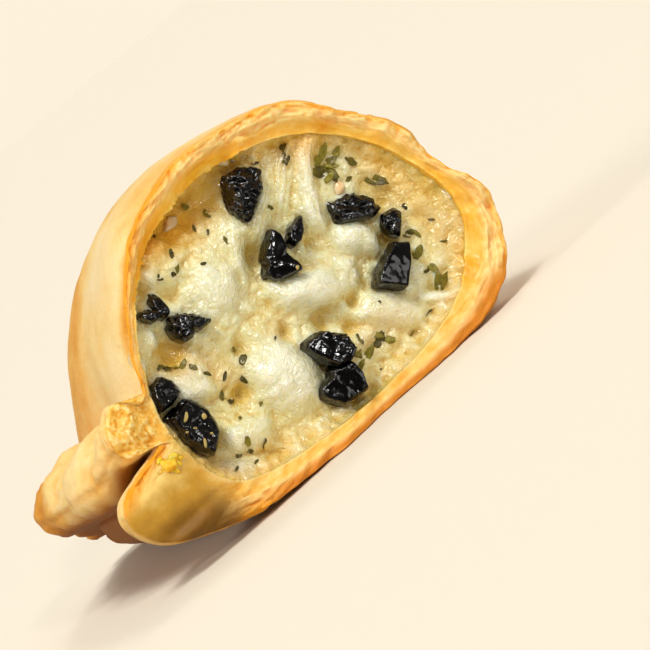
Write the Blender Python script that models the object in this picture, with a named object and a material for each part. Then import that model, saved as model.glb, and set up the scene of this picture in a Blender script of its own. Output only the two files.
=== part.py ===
"""A torn half of a baked empanada: a dough case with its sealed edge, a core of melted cheese
with herb flakes, and chopped black olives lying in the cheese.

It rests on its flat baked underside, with the torn face towards -Y, the sealed edge at -X,
the fold at +X and the dome up. The origin is on the underside, below the middle of the piece.
Sizes below are in millimetres, and the last step of each mesh turns them into metres.
"""

import math

import bpy
import bmesh
import numpy as np
from mathutils import Matrix, Vector, noise
from mathutils.geometry import delaunay_2d_cdt

MM = 0.001

# Driving sizes of the whole piece
TORN_WIDTH = 69.8      # fold to sealed edge, across the torn face
DOME_SHARE = 61.8      # of that width, the stretch covered by the domed top
SEAL_BAND = 12.6       # width of the sealed edge behind the torn face
FOLD_X = 37.8          # the fold at the torn face
TORN_Y = -36.0         # the torn face
SEAL_RADIUS = 75.0     # the half-moon's curved edge, seen from above
SEAL_CENTRE = (38.5, 25.7)   # its centre: x, and distance behind the torn face
SEAL_START = -20.0     # degrees round the curved edge at the torn face
SEAL_END = 40.0        # degrees at the half-moon's tip
FOLD_BULGE = (36.0, 48.0)    # the point that the fold line bows towards
TIP_NOSE = 7.0         # rounding of the tip
FOOT_HEIGHT = 22.8     # where the dome meets the sealed edge, behind the torn face
LUMP_PITCH = 13.0      # the pressed lumps along the sealed edge
LUMP_RISE = 1.2
LUMP_REACH = 0.9
SEAL_CHANGE = 9.0      # the broken sealed edge turns into the whole one over this depth
DOME_CHANGE = 24.0     # and the dome's broken foot into the whole one
SHOULDER_FALL = 0.014  # how much flatter the dome's shoulder is behind the torn face
LOBE_CHANGE = 16.0     # and the bulging lower lip into the plain lower body
CUT_ROWS = 4           # rows of EDGE, from the top, that belong to the broken sealed edge
LIP_ROW = 7            # row of EDGE at the foot of the lip
LAST_T = 0.92          # the sections stop here and the rounded tip closes the case
TIP_HEIGHT = 0.42      # height of the tip, as a share of the last section's
HEIGHT_FALL = 0.85     # how the height follows the width towards the tip
BAND_FALL = 0.6        # and how the sealed edge follows the height

# The dough
WALL = 3.0             # thickness of the baked case behind the rim
FLOOR_WALL = 2.2
CAVITY_END = 0.76      # share of the way to the tip that the filling reaches
RIM_ROUND = 1.1        # how far the torn edge is rounded forward
RIM_RAGGED = 1.3       # unevenness of the torn edge
INNER_RAGGED = 0.8     # share of it that the inner line of the torn edge follows
RIM_STEPS = 3          # rows of faces across the torn edge
FULL_RIM = 3.0         # a torn edge this thick is rounded by all of RIM_ROUND

# The filling
GAP = 0.60             # clearance between the filling and the case
SOCKET_GAP = 0.5       # clearance round each olive
FLAKE_THICK = 0.45
FLAKE_COUNT_EXTRA = 14
SEED = 7

# Resolution
STEPS_PER_POINT = 2
OUTER_SECTIONS = 32
NOSE_SECTIONS = 3
INNER_SECTIONS = 11
FRONT_GRID = 1.9
EDGE_BLEND = 3.2       # the front turns back to the case over this width
EDGE_CLEAR = 0.62      # the grid keeps this share of a step away from the outline
FILL_END = 0.74        # share of the way to the tip where the filling ends

# The section of the case, anticlockwise from the middle of the underside, seen from the torn face.
# Dome points: share of the dome's width from the fold, height; then the cavity's width and height.
DOME = [
    (0.500, 0.0, 31.0, 2.6),
    (0.330, 0.0, 20.5, 3.7),
    (0.210, 0.7, 13.5, 6.0),
    (0.100, 3.2, 8.6, 9.3),
    (0.028, 8.6, 5.6, 13.2),
    (0.000, 14.6, 4.6, 17.6),
    (0.045, 22.0, 5.6, 23.4),
    (0.080, 31.2, 8.4, 29.8),
    (0.168, 38.1, 12.8, 35.4),
    (0.262, 44.1, 19.1, 40.0),
    (0.410, 46.9, 27.0, 42.6),
    (0.560, 47.8, 35.0, 43.4),
    (0.700, 45.5, 43.0, 41.8),
    (0.800, 41.9, 49.0, 38.5),
    (0.885, 36.6, 54.2, 34.4),
    (0.951, 30.6, 57.6, 30.0),
    (1.000, 24.4, 59.0, 26.4),
]
# Sealed edge and lower body: reach past the sealed edge and height at the torn face, the same
# behind it, then the cavity's width and height.
EDGE = [
    (-4.0, 26.7, -7.8, 23.7, 60.2, 24.4),
    (-0.7, 24.6, -1.8, 22.1, 61.0, 22.4),
    (0.2, 21.8, 1.4, 18.4, 61.3, 20.4),
    (-1.0, 19.4, -0.7, 14.4, 61.5, 18.4),
    (-5.4, 18.2, -6.8, 12.6, 61.5, 16.4),
    (-0.4, 16.9, -7.0, 10.8, 61.3, 14.4),
    (4.4, 15.2, -7.6, 8.6, 61.0, 12.0),
    (5.5, 11.6, -9.2, 5.8, 60.4, 9.6),
    (2.4, 6.6, -12.0, 3.6, 59.0, 7.4),
    (-4.5, 3.3, -15.4, 1.2, 56.0, 5.5),
    (-13.0, 1.0, -20.0, 0.0, 50.2, 3.9),
    (-26.5, 0.0, -27.5, 0.0, 40.5, 2.8),
]

# Lumps of cheese on the torn face: x, height, how far behind the torn face their fronts lie,
# half length, half width and lean in degrees.
LUMPS = [
    (-3.8, 30.0, 1.2, 6.2, 4.0, 48),
    (2.2, 34.4, 2.6, 4.8, 3.0, 20),
    (-7.6, 39.4, 2.6, 3.6, 2.6, -60),
    (7.2, 20.6, 0.2, 5.6, 3.6, -35),
    (17.4, 22.4, 0.8, 5.0, 2.9, -42),
    (13.0, 18.2, 1.8, 3.6, 2.8, 50),
    (15.4, 10.2, 1.0, 7.6, 2.9, -40),
    (-4.0, 13.4, 0.2, 6.4, 5.0, -80),
    (-16.4, 21.2, 1.2, 4.8, 3.0, -50),
    (-13.2, 10.4, 1.2, 4.4, 3.2, -30),
    (-20.4, 7.8, 0.8, 5.4, 3.2, -30),
    (-16.8, 30.4, 1.6, 2.6, 2.0, -70),
    (-8.4, 23.8, 3.0, 4.6, 3.0, -75),
    (28.0, 14.0, 3.2, 7.0, 4.2, -70),
    (14.4, 35.6, 3.4, 6.5, 3.6, 60),
    (24.0, 31.0, 3.8, 6.0, 4.0, -50),
    (12.4, 6.6, 3.2, 3.4, 2.2, -30),
    (15.2, 29.0, 2.4, 5.2, 2.6, 70),
]
# Chopped olive pieces: x, height, depth of the middle behind the torn face, half length, half
# width, half thickness and lean in degrees.
OLIVES = [
    (8.8, 37.5, 4.2, 4.3, 3.0, 3.2, 46),
    (11.9, 28.4, 3.4, 3.0, 1.3, 2.2, 32),
    (5.3, 26.4, 3.6, 3.6, 2.0, 2.7, 62),
    (19.6, 26.6, 4.2, 3.6, 2.0, 2.6, -35),
    (25.0, 20.3, 3.6, 2.1, 1.7, 2.2, 47),
    (20.2, 14.6, 2.6, 3.9, 2.7, 2.8, 28),
    (-13.6, 33.6, 3.4, 2.2, 1.9, 2.1, 25),
    (-10.8, 28.1, 3.6, 3.2, 2.0, 2.6, -29),
    (3.6, 12.6, 2.6, 3.7, 2.9, 3.0, -60),
    (1.0, 6.2, 2.6, 3.4, 2.3, 2.6, -24),
    (-19.9, 23.7, 2.6, 2.1, 1.5, 1.9, 60),
    (-19.8, 16.2, 2.6, 4.4, 3.2, 3.0, -77),
]


def smooth(value):
    """Smoothstep from 0 to 1."""
    value = min(max(value, 0.0), 1.0)
    return value * value * (3.0 - 2.0 * value)


def wobble(x, y, z, size, seed=0.0):
    """Smooth noise of the given feature size, about -1 to 1."""
    return noise.noise(Vector((x / size + seed, y / size - seed, z / size + 2.3 * seed)))


# The half-moon seen from above

def seal_point(t):
    angle = math.radians(SEAL_START + (SEAL_END - SEAL_START) * t)
    return np.array([
        SEAL_CENTRE[0] - SEAL_RADIUS * math.cos(angle),
        SEAL_CENTRE[1] + SEAL_RADIUS * math.sin(angle),
    ])


def fold_point(t):
    tip = seal_point(1.0)
    start = np.array([FOLD_X, 0.0])
    bulge = np.array(FOLD_BULGE)
    return (1 - t) ** 2 * start + 2 * t * (1 - t) * bulge + t * t * tip


def seal_length(t):
    """Distance along the sealed edge from the torn face."""
    return SEAL_RADIUS * math.radians(SEAL_END - SEAL_START) * t


def span(t):
    """Fold point, direction to the sealed edge and width of the section at t."""
    fold = fold_point(t)
    across = seal_point(t) - fold
    width = float(np.linalg.norm(across))
    return fold, across / width, width


def lump(t):
    """Pressed lumps along the sealed edge: 0 in the dents, 1 on the crowns."""
    return abs(math.sin(math.pi * (seal_length(t) / LUMP_PITCH + 0.35))) ** 0.7


def closed_curve(points, steps):
    """A smooth closed curve through the points, Catmull-Rom, with this many steps a point."""
    points = np.asarray(points, float)
    before, after, after2 = np.roll(points, 1, 0), np.roll(points, -1, 0), np.roll(points, -2, 0)
    rows = []
    for step in range(steps):
        f = step / steps
        rows.append(0.5 * (
            2 * points + (after - before) * f
            + (2 * before - 5 * points + 4 * after - after2) * f * f
            + (3 * points - before - 3 * after + after2) * f ** 3
        ))
    return np.stack(rows, 1).reshape(-1, 2)


def outer_points(t):
    """The section's outer outline at t, as distance from the fold and height."""
    width = span(t)[2]
    height = (width / TORN_WIDTH) ** HEIGHT_FALL
    change = smooth(seal_length(t) / SEAL_CHANGE)
    lip_change = smooth(seal_length(t) / LOBE_CHANGE)
    dome_change = smooth(seal_length(t) / DOME_CHANGE)
    shrink = height ** BAND_FALL
    band = SEAL_BAND * shrink
    dome = width - (TORN_WIDTH - DOME_SHARE) * (1 - dome_change) - band * dome_change
    points = []
    for share, z, _, _ in DOME:
        fall = SHOULDER_FALL * dome_change * max(math.sin(math.pi * (share - 0.7) / 0.3), 0.0)
        points.append([(share - fall) * dome, z * height])
    crest = lump(t)
    foot = FOOT_HEIGHT * shrink
    points[-1][1] = foot * dome_change + points[-1][1] * (1 - dome_change)
    for row, (cut_reach, cut_z, reach, z, _, _) in enumerate(EDGE):
        part = change if row < CUT_ROWS else lip_change
        w = cut_reach * (1 - part) + reach * shrink * part + width
        h = cut_z * (1 - part) + z * shrink * part
        if row in (0, 1):
            h += LUMP_RISE * shrink * (crest - 0.5) * (0.4 + 0.6 * change)
        if row in (1, 2, 3):
            w += LUMP_REACH * shrink * (crest - 0.5) * (0.3 + 0.7 * change)
        points.append([w, h])
    return points


def outline(t, steps):
    curve = closed_curve(outer_points(t), steps)
    curve[:, 1] = np.maximum(curve[:, 1], 0.0)
    return curve


def inner_points(t):
    """The cavity's outline at t, as distance from the fold and height."""
    outer = np.array(outer_points(t))
    ahead, behind = np.roll(outer, -1, 0), np.roll(outer, 1, 0)
    along = ahead - behind
    along /= np.linalg.norm(along, axis=1)[:, None]
    inward = np.stack([along[:, 1], -along[:, 0]], 1)
    deep = outer + inward * WALL
    first, last = len(DOME) - 1, len(DOME) + LIP_ROW   # from the dome's foot to the lower body
    for row in range(first + 1, last):
        share = (row - first) / (last - first)
        deep[row] = deep[first] * (1 - share) + deep[last] * share
    torn = np.array([[w, z] for _, _, w, z in DOME] + [[w, z] for _, _, _, _, w, z in EDGE])
    top_change = smooth(seal_length(t) / (0.8 * SEAL_CHANGE))
    low_change = smooth(seal_length(t) / LOBE_CHANGE)
    change = np.array([top_change] * len(DOME) + [low_change] * len(EDGE))[:, None]
    points = torn * (1 - change) + deep * change
    points[:, 1] = np.maximum(points[:, 1], FLOOR_WALL)
    return points


def cavity(t, steps, shrink=0.0):
    """The cavity's outline, drawn in by shrink."""
    curve = closed_curve(inner_points(t), steps)
    along = np.roll(curve, -1, 0) - np.roll(curve, 1, 0)
    along /= np.linalg.norm(along, axis=1)[:, None]
    return curve + np.stack([along[:, 1], -along[:, 0]], 1) * shrink


def in_space(t, curve):
    """Points of the section at t, in the part's frame."""
    fold, direction, _ = span(t)
    flat = fold + direction * curve[:, :1]
    return np.column_stack([flat[:, 0], flat[:, 1] + TORN_Y, curve[:, 1]])


# Meshes

def add_loop(bm, points):
    return [bm.verts.new(Vector(point) * MM) for point in points]


def bridge(bm, first, second):
    """Quads between two loops of the same count."""
    count = len(first)
    for i in range(count):
        j = (i + 1) % count
        bm.faces.new((first[i], first[j], second[j], second[i]))


def cap(bm, loop, flip=False):
    """A fan from the loop's middle."""
    middle = bm.verts.new(sum((vert.co for vert in loop), Vector()) / len(loop))
    for i, vert in enumerate(loop):
        after = loop[(i + 1) % len(loop)]
        bm.faces.new((after, vert, middle) if flip else (vert, after, middle))


def finish_mesh(name, bm, finish):
    """Triangulates, faces the mesh outwards and makes the object."""
    bmesh.ops.triangulate(bm, faces=bm.faces)
    bmesh.ops.recalc_face_normals(bm, faces=bm.faces)
    mesh = bpy.data.meshes.new(name)
    bm.to_mesh(mesh)
    bm.free()
    mesh.shade_smooth()
    mesh.set_sharp_from_angle(angle=math.radians(40))
    mesh.materials.append(finish)
    obj = bpy.data.objects.new(name, mesh)
    bpy.context.scene.collection.objects.link(obj)
    return obj


def finish_of(name, color, roughness):
    material = bpy.data.materials.new(name)
    material.use_nodes = True
    shader = material.node_tree.nodes["Principled BSDF"]
    shader.inputs["Base Color"].default_value = (*color, 1.0)
    shader.inputs["Roughness"].default_value = roughness
    shader.inputs["Metallic"].default_value = 0.0
    return material


# The dough case

def ragged(point):
    """How far the torn edge stands forward of the torn face at this point."""
    x, _, z = point
    flap = 1.6 * math.exp(-(((x + 8) / 12) ** 2 + ((z - 42) / 7) ** 2))
    crumb = 1.4 * math.exp(-(((x + 29) / 5) ** 2 + ((z - 22.5) / 4) ** 2))
    lobe = 1.0 * math.exp(-(((x + 31) / 9) ** 2 + ((z - 9) / 6) ** 2))
    uneven = RIM_RAGGED * (wobble(x, 0, z, 7.0, 1.7) + 0.6 * wobble(x, 0, z, 2.6, 4.1))
    return uneven + crumb + lobe - flap


def build_case(finish):
    bm = bmesh.new()
    loops = []
    for index in range(OUTER_SECTIONS + 1):
        share = index / OUTER_SECTIONS
        t = LAST_T * (share ** 1.25 * 0.75 + 0.25 * share)
        points = in_space(t, outline(t, STEPS_PER_POINT))
        if index == 0:
            for point in points:
                point[1] -= ragged(point)
        loops.append(add_loop(bm, points))
    # The tip: the last section drawn in round a nose
    curve = outline(LAST_T, STEPS_PER_POINT)
    last = in_space(LAST_T, curve)
    middle = last.mean(0)
    middle[2] = curve[:, 1].max() * TIP_HEIGHT
    ahead = seal_point(1.0) - seal_point(0.97) + fold_point(1.0) - fold_point(0.97)
    ahead /= np.linalg.norm(ahead)
    for step in range(1, NOSE_SECTIONS + 1):
        angle = math.pi / 2 * step / (NOSE_SECTIONS + 0.6)
        points = middle + (last - middle) * math.cos(angle)
        points[:, :2] += ahead * TIP_NOSE * math.sin(angle)
        loops.append(add_loop(bm, points))
    for first, second in zip(loops, loops[1:]):
        bridge(bm, first, second)
    cap(bm, loops[-1])
    # The cavity, from the torn face inwards
    hollow = []
    for index in range(INNER_SECTIONS + 1):
        share = index / INNER_SECTIONS
        t = CAVITY_END * share ** 1.5
        points = in_space(t, cavity(t, STEPS_PER_POINT))
        if index == 0:
            for point in points:
                point[1] -= ragged(point) * INNER_RAGGED
        hollow.append(add_loop(bm, points))
    for first, second in zip(hollow, hollow[1:]):
        bridge(bm, second, first)
    cap(bm, hollow[-1], flip=True)
    # The torn edge, rounded forward between the two outlines
    rounds = [loops[0]]
    for step in range(1, RIM_STEPS):
        share = step / RIM_STEPS
        row = []
        for out, inn in zip(loops[0], hollow[0]):
            place = out.co.lerp(inn.co, share)
            rough = wobble(*(place / MM), 2.2, 8.8 + step)
            thick = min((out.co - inn.co).length / MM / FULL_RIM, 1.6)
            place.y -= RIM_ROUND * (thick + 0.5 * rough) * MM
            row.append(bm.verts.new(place))
        rounds.append(row)
    rounds.append(hollow[0])
    for first, second in zip(rounds, rounds[1:]):
        bridge(bm, second, first)
    return finish_mesh("crust", bm, finish)


# The cheese

def melt(x, z):
    """Depth of the cheese's front behind the torn face: the nearest of many soft lumps."""
    hollow = 4.5 * math.exp(-(((x - 2) / 9) ** 2 + ((z - 41) / 2.6) ** 2))
    right = 0.6 * smooth((x - 18) / 14)
    base = 5.0 + hollow + right + 1.3 * wobble(x, 0, z, 6.0, 3.3) + 0.5 * wobble(x, 0, z, 2.5, 5.9)
    sharp = 1.1
    total = math.exp(-base / sharp)
    for lx, lz, front, long, short, lean in LUMPS:
        c, s = math.cos(math.radians(lean)), math.sin(math.radians(lean))
        u = ((x - lx) * c + (z - lz) * s) / long
        v = (-(x - lx) * s + (z - lz) * c) / short
        r = u * u + v * v
        if r < 2.2:
            total += math.exp(-(front + 4.6 * r ** 1.4) / sharp)
    return -sharp * math.log(total)


def inside(points, ring):
    """Which points lie inside the closed ring, both as x and z."""
    found = np.zeros(len(points), bool)
    for start, end in zip(ring, np.roll(ring, -1, 0)):
        crosses = (start[1] > points[:, 1]) != (end[1] > points[:, 1])
        rise = np.where(crosses, (points[:, 1] - start[1]) / (end[1] - start[1] + 1e-12), 0.0)
        found ^= crosses & (points[:, 0] < start[0] + rise * (end[0] - start[0]))
    return found


def front_grid(ring):
    """Points of a triangular grid inside the ring, and each one's distance from it."""
    low, high = ring.min(0), ring.max(0)
    rows = []
    step_z = FRONT_GRID * math.sqrt(3) / 2
    for row, z in enumerate(np.arange(low[1], high[1], step_z)):
        for x in np.arange(low[0], high[0], FRONT_GRID):
            rows.append((x + FRONT_GRID / 2 * (row % 2), z))
    grid = np.array(rows)
    grid = grid[inside(grid, ring)]
    distance = np.min(np.linalg.norm(grid[:, None] - ring[None], axis=2), axis=1)
    clear = distance > EDGE_CLEAR * FRONT_GRID
    return grid[clear], distance[clear]


def add_front(bm, loop):
    """The lumpy front of the cheese, a triangulated grid inside the loop."""
    ring = np.array([(vert.co.x / MM, vert.co.z / MM) for vert in loop])
    edge = np.array([vert.co.y / MM for vert in loop])
    grid, distance = front_grid(ring)
    flat = [Vector(point) for point in np.vstack([ring, grid])]
    border = [(i, (i + 1) % len(ring)) for i in range(len(ring))]
    made, _, faces, _, _, _ = delaunay_2d_cdt(flat, border, [], 1, 1e-6)
    verts = list(loop)
    for (x, z), far in zip(grid, distance):
        nearest = edge[np.argmin(np.linalg.norm(ring - (x, z), axis=1))]
        near = smooth(far / EDGE_BLEND)
        y = nearest * (1 - near) + (TORN_Y + melt(x, z)) * near
        verts.append(bm.verts.new(Vector((x, y, z)) * MM))
    for face in faces:
        bm.faces.new([verts[i] for i in face])


def edge_depth(point):
    """How deep behind the torn face the cheese meets the case."""
    x, _, z = point
    top = 4.5 * math.exp(-(((x - 2) / 12) ** 2 + ((z - 43) / 4) ** 2))
    return 2.2 + top + 2.4 * smooth((x - 8) / 18) + 0.8 * wobble(x, 1, z, 6.0, 6.1)


def build_cheese(finish):
    bm = bmesh.new()
    torn = in_space(0.0, cavity(0.0, STEPS_PER_POINT, shrink=GAP))
    depths = [edge_depth(point) for point in torn]
    rows = []
    for index in range(INNER_SECTIONS + 1):
        share = index / INNER_SECTIONS
        row = []
        for i, depth in enumerate(depths):
            start = depth / seal_length(1.0)
            t = start + (FILL_END - start) * share ** 1.4
            curve = cavity(t, STEPS_PER_POINT, shrink=GAP)
            row.append(in_space(t, curve[i:i + 1])[0])
        rows.append(row)
    loops = [add_loop(bm, row) for row in rows]
    for first, second in zip(loops, loops[1:]):
        bridge(bm, first, second)
    cap(bm, loops[-1])
    add_front(bm, loops[0])
    return finish_mesh("filling", bm, finish)


# The olives

def olive_mesh(index, grow=0.0):
    """A chopped piece of olive: a wrinkled ball with flat cut sides, grown by grow."""
    x, z, depth, long, short, thick, lean = OLIVES[index]
    rng = np.random.default_rng(SEED + index)
    bm = bmesh.new()
    fine = long > 3.6
    bmesh.ops.create_icosphere(bm, subdivisions=3 if fine else 2, radius=1.0)
    cuts = []
    for _ in range(8):
        normal = Vector(rng.normal(size=3)).normalized()
        cuts.append((normal, rng.uniform(0.58, 0.82)))
    turn = Matrix.Rotation(-math.radians(lean), 3, "Y")
    for vert in bm.verts:
        place = vert.co.copy()
        for normal, reach in cuts:
            over = place.dot(normal) - reach
            if over > 0:
                place -= normal * over
        place = place * (1.0 + 0.07 * wobble(*place, 0.45, 2.0 + index))
        out = place.normalized()
        place = Vector((place.x * long * 1.3, place.y * thick * 1.2, place.z * short * 1.3))
        place += out * grow
        vert.co = (turn @ place + Vector((x, TORN_Y + depth, z))) * MM
    return bm


def build_olives(finish):
    return [
        finish_mesh(f"olive_{index + 1}", olive_mesh(index), finish)
        for index in range(len(OLIVES))
    ]


# The herbs

def herb_places():
    """Places of the herb flakes on the cheese: a few by hand, the rest drawn by a seeded rule."""
    rng = np.random.default_rng(SEED)
    places = [
        (22.6, 32.4, 1.7), (18.0, 38.2, 1.2), (25.6, 26.8, 1.2), (24.4, 14.4, 1.0),
        (23.6, 9.0, 1.2), (10.0, 8.6, 1.5), (6.8, 8.2, 1.4), (-13.6, 21.6, 1.0),
        (-8.4, 18.0, 1.1), (-15.2, 8.9, 1.2), (-12.6, 5.4, 1.1), (-5.2, 37.4, 1.1),
        (2.4, 34.6, 1.0), (0.2, 38.2, 0.9), (-9.0, 36.0, 1.0), (-16.4, 25.4, 1.0),
    ]
    wanted = len(places) + FLAKE_COUNT_EXTRA
    while len(places) < wanted:
        x, z = rng.uniform(-21, 28), rng.uniform(5, 41)
        size = rng.uniform(0.7, 1.1)
        clear = all(
            math.hypot(x - other[0], z - other[1]) > 3.2 for other in places
        )
        dome = (abs(x - 4) / 27) ** 2.4 + (abs(z - 22) / 19) ** 2.4 < 1
        if clear and dome:
            places.append((x, z, size))
    return [place for place in places if clear_of_olives(place)]


def clear_of_olives(place):
    return all(
        math.hypot(place[0] - row[0], place[1] - row[1]) > row[3] * 0.75 + row[4] * 0.5 + place[2] + 0.3
        for row in OLIVES
    )


def flake(index, place):
    """One dried leaf flake, a thin bent wedge sunk half into the cheese."""
    x, z, size = place
    rng = np.random.default_rng(SEED * 100 + index)
    bm = bmesh.new()
    bmesh.ops.create_cone(
        bm, cap_ends=True, segments=6, radius1=size, radius2=size * 0.85, depth=2.2 * FLAKE_THICK
    )
    angle = rng.uniform(0, math.pi)
    for vert in bm.verts:
        vert.co.y *= 0.55
        vert.co.z += 0.25 * vert.co.x * vert.co.x / size
    step = 0.6
    slope_x = (melt(x + step, z) - melt(x - step, z)) / (2 * step)
    slope_z = (melt(x, z + step) - melt(x, z - step)) / (2 * step)
    normal = Vector((slope_x, -1.0, slope_z)).normalized()
    turn = normal.to_track_quat("Z", "X").to_matrix() @ Matrix.Rotation(angle, 3, "Z")
    for vert in bm.verts:
        vert.co = (turn @ vert.co + Vector((x, TORN_Y + melt(x, z), z))) * MM
    bmesh.ops.triangulate(bm, faces=bm.faces)
    mesh = bpy.data.meshes.new(f"flake_{index}")
    bm.to_mesh(mesh)
    bm.free()
    return bpy.data.objects.new(f"flake_{index}", mesh)


def combine(target, pieces, operation):
    """One Boolean of the target with a collection of pieces, applied, and the pieces removed."""
    group = bpy.data.collections.new(f"{operation.lower()}_pieces")
    bpy.context.scene.collection.children.link(group)
    for piece in pieces:
        group.objects.link(piece)
    modifier = target.modifiers.new(operation.title(), "BOOLEAN")
    modifier.operation = operation
    modifier.operand_type = "COLLECTION"
    modifier.collection = group
    modifier.solver = "MANIFOLD"
    bpy.context.view_layer.update()
    graph = bpy.context.evaluated_depsgraph_get()
    mesh = bpy.data.meshes.new_from_object(target.evaluated_get(graph))
    target.modifiers.clear()
    old = target.data
    target.data = mesh
    bpy.data.meshes.remove(old)
    mesh.name = target.name
    for piece in pieces:
        bpy.data.objects.remove(piece)
    bpy.data.collections.remove(group)


def largest_body(obj):
    """Drops the loose scraps that a Boolean leaves."""
    bm = bmesh.new()
    bm.from_mesh(obj.data)
    left = set(bm.verts)
    bodies = []
    while left:
        stack, body = [left.pop()], []
        while stack:
            vert = stack.pop()
            body.append(vert)
            for edge in vert.link_edges:
                other = edge.other_vert(vert)
                if other in left:
                    left.remove(other)
                    stack.append(other)
        bodies.append(body)
    bodies.sort(key=len)
    for body in bodies[:-1]:
        bmesh.ops.delete(bm, geom=body, context="VERTS")
    bm.to_mesh(obj.data)
    bm.free()


def plain_object(name, bm):
    bmesh.ops.triangulate(bm, faces=bm.faces)
    mesh = bpy.data.meshes.new(name)
    bm.to_mesh(mesh)
    bm.free()
    return bpy.data.objects.new(name, mesh)


def build_filling(finish):
    filling = build_cheese(finish)
    flakes = [flake(index, place) for index, place in enumerate(herb_places())]
    combine(filling, flakes, "UNION")
    sockets = [
        plain_object(f"socket_{index}", olive_mesh(index, SOCKET_GAP))
        for index in range(len(OLIVES))
    ]
    combine(filling, sockets, "DIFFERENCE")
    largest_body(filling)
    return filling


def main():
    for obj in list(bpy.data.objects):
        bpy.data.objects.remove(obj)
    build_case(finish_of("baked_dough", (0.78, 0.50, 0.22), 0.55))
    build_filling(finish_of("melted_cheese", (0.86, 0.80, 0.55), 0.35))
    build_olives(finish_of("black_olive", (0.02, 0.018, 0.02), 0.3))


main()
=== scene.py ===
# %% [markdown]
# # A torn half of a baked empanada
# The part is a half-moon of baked dough, torn across, so that its core of melted cheese shows,
# with chopped black olives and dried herbs in it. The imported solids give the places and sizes.
# Each of them is dressed here with a finer mesh that follows the same plan.

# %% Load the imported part
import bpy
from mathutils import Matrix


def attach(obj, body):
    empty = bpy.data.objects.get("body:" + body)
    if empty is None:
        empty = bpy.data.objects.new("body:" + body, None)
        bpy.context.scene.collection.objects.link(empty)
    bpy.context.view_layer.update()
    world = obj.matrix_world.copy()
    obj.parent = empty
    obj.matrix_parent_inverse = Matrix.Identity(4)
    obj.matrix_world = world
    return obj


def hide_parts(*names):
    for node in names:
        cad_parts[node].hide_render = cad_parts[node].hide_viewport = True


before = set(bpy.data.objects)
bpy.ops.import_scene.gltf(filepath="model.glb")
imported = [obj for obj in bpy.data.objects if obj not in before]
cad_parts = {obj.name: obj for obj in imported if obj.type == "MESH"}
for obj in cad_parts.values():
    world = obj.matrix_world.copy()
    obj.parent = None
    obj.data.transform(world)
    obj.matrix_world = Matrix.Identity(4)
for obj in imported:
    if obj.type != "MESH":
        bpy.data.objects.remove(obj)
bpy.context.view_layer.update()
print("nodes:", sorted(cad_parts))

# %% Tools and units
import math

import bmesh
import bpy
import numpy as np
from mathutils import Matrix, Vector, noise
from mathutils.geometry import delaunay_2d_cdt

MM = 0.001

# %% [markdown]
# ## Small helpers
# Dough and cheese are uneven at every scale, so most shapes below are a plain form plus a few
# layers of smooth noise. The noise is read at points in millimetres, which keeps its grain true.

# %% Smooth steps and noise
def smooth(value):
    """Smoothstep from 0 to 1."""
    value = np.clip(value, 0.0, 1.0)
    return value * value * (3.0 - 2.0 * value)


def wobble(x, y, z, size, seed=0.0):
    """Smooth noise of the given feature size at one point, about -1 to 1."""
    return noise.noise(Vector((x / size + seed, y / size - seed, z / size + 2.3 * seed)))


def wobbles(points, size, seed=0.0):
    """The same noise at many points."""
    rows = (np.asarray(points) / size + (seed, -seed, 2.3 * seed)).reshape(-1, 3).tolist()
    values = np.array([noise.noise(Vector(row)) for row in rows])
    return values.reshape(np.shape(points)[:-1])


def cell_edges(points, size, seed=0.0):
    """0 at the middle of a grain, 1 where it meets its neighbours."""
    rows = (np.asarray(points) / size + (seed, -seed, 2.3 * seed)).reshape(-1, 3).tolist()
    near = np.array([noise.voronoi(Vector(row))[0][:2] for row in rows])
    return np.clip(near[:, 0] / (near[:, 1] + 1e-6), 0, 1).reshape(np.shape(points)[:-1])


def hill(x, z, cx, cz, rx, rz):
    """A soft round mask on the torn face, 1 at its middle."""
    return np.exp(-(((x - cx) / rx) ** 2 + ((z - cz) / rz) ** 2))


# %% [markdown]
# ## A mesh from arrays
# Each piece ends as an array of points in millimetres and an array of faces. One function turns
# them into an object in metres. It also stores named marks, one number a point, such as how
# browned the dough is there, which the materials read later.

# %% Make a piece
def add_object(name, data):
    """An object with this data, in the scene."""
    item = bpy.data.objects.new(name, data)
    bpy.context.scene.collection.objects.link(item)
    return item


def mesh_piece(name, points, faces, marks=None):
    mesh = bpy.data.meshes.new(name)
    mesh.from_pydata((np.asarray(points) * MM).tolist(), [], [list(map(int, face)) for face in faces])
    mesh.validate()
    mesh.shade_smooth()
    for mark, values in (marks or {}).items():
        layer = mesh.attributes.new(mark, "FLOAT", "POINT")
        layer.data.foreach_set("value", np.asarray(values, np.float32).ravel())
    piece = add_object(name, mesh)
    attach(piece, "root")
    print(name, len(mesh.vertices), "points", len(mesh.polygons), "faces")
    return piece


# %% [markdown]
# ## The plan of the half-moon
# Seen from above, the fold and the sealed edge are two curves that meet at a tip. A section
# stands across them at every step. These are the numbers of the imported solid, in millimetres.

# %% Driving sizes
TORN_WIDTH = 69.8
DOME_SHARE = 61.8
SEAL_BAND = 12.6
FOLD_X = 37.8
TORN_Y = -36.0
SEAL_RADIUS = 75.0
SEAL_CENTRE = (38.5, 25.7)
SEAL_START = -20.0
SEAL_END = 40.0
FOLD_BULGE = (36.0, 48.0)
TIP_NOSE = 7.0
FOOT_HEIGHT = 22.8
LUMP_PITCH = 13.0
LUMP_RISE = 1.2
LUMP_REACH = 0.9
SEAL_CHANGE = 9.0
DOME_CHANGE = 24.0
SHOULDER_FALL = 0.014
LOBE_CHANGE = 16.0
WALL = 3.0
FLOOR_WALL = 2.2
CAVITY_END = 0.76
LAST_T = 0.92
RIM_RAGGED = 1.3

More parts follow.
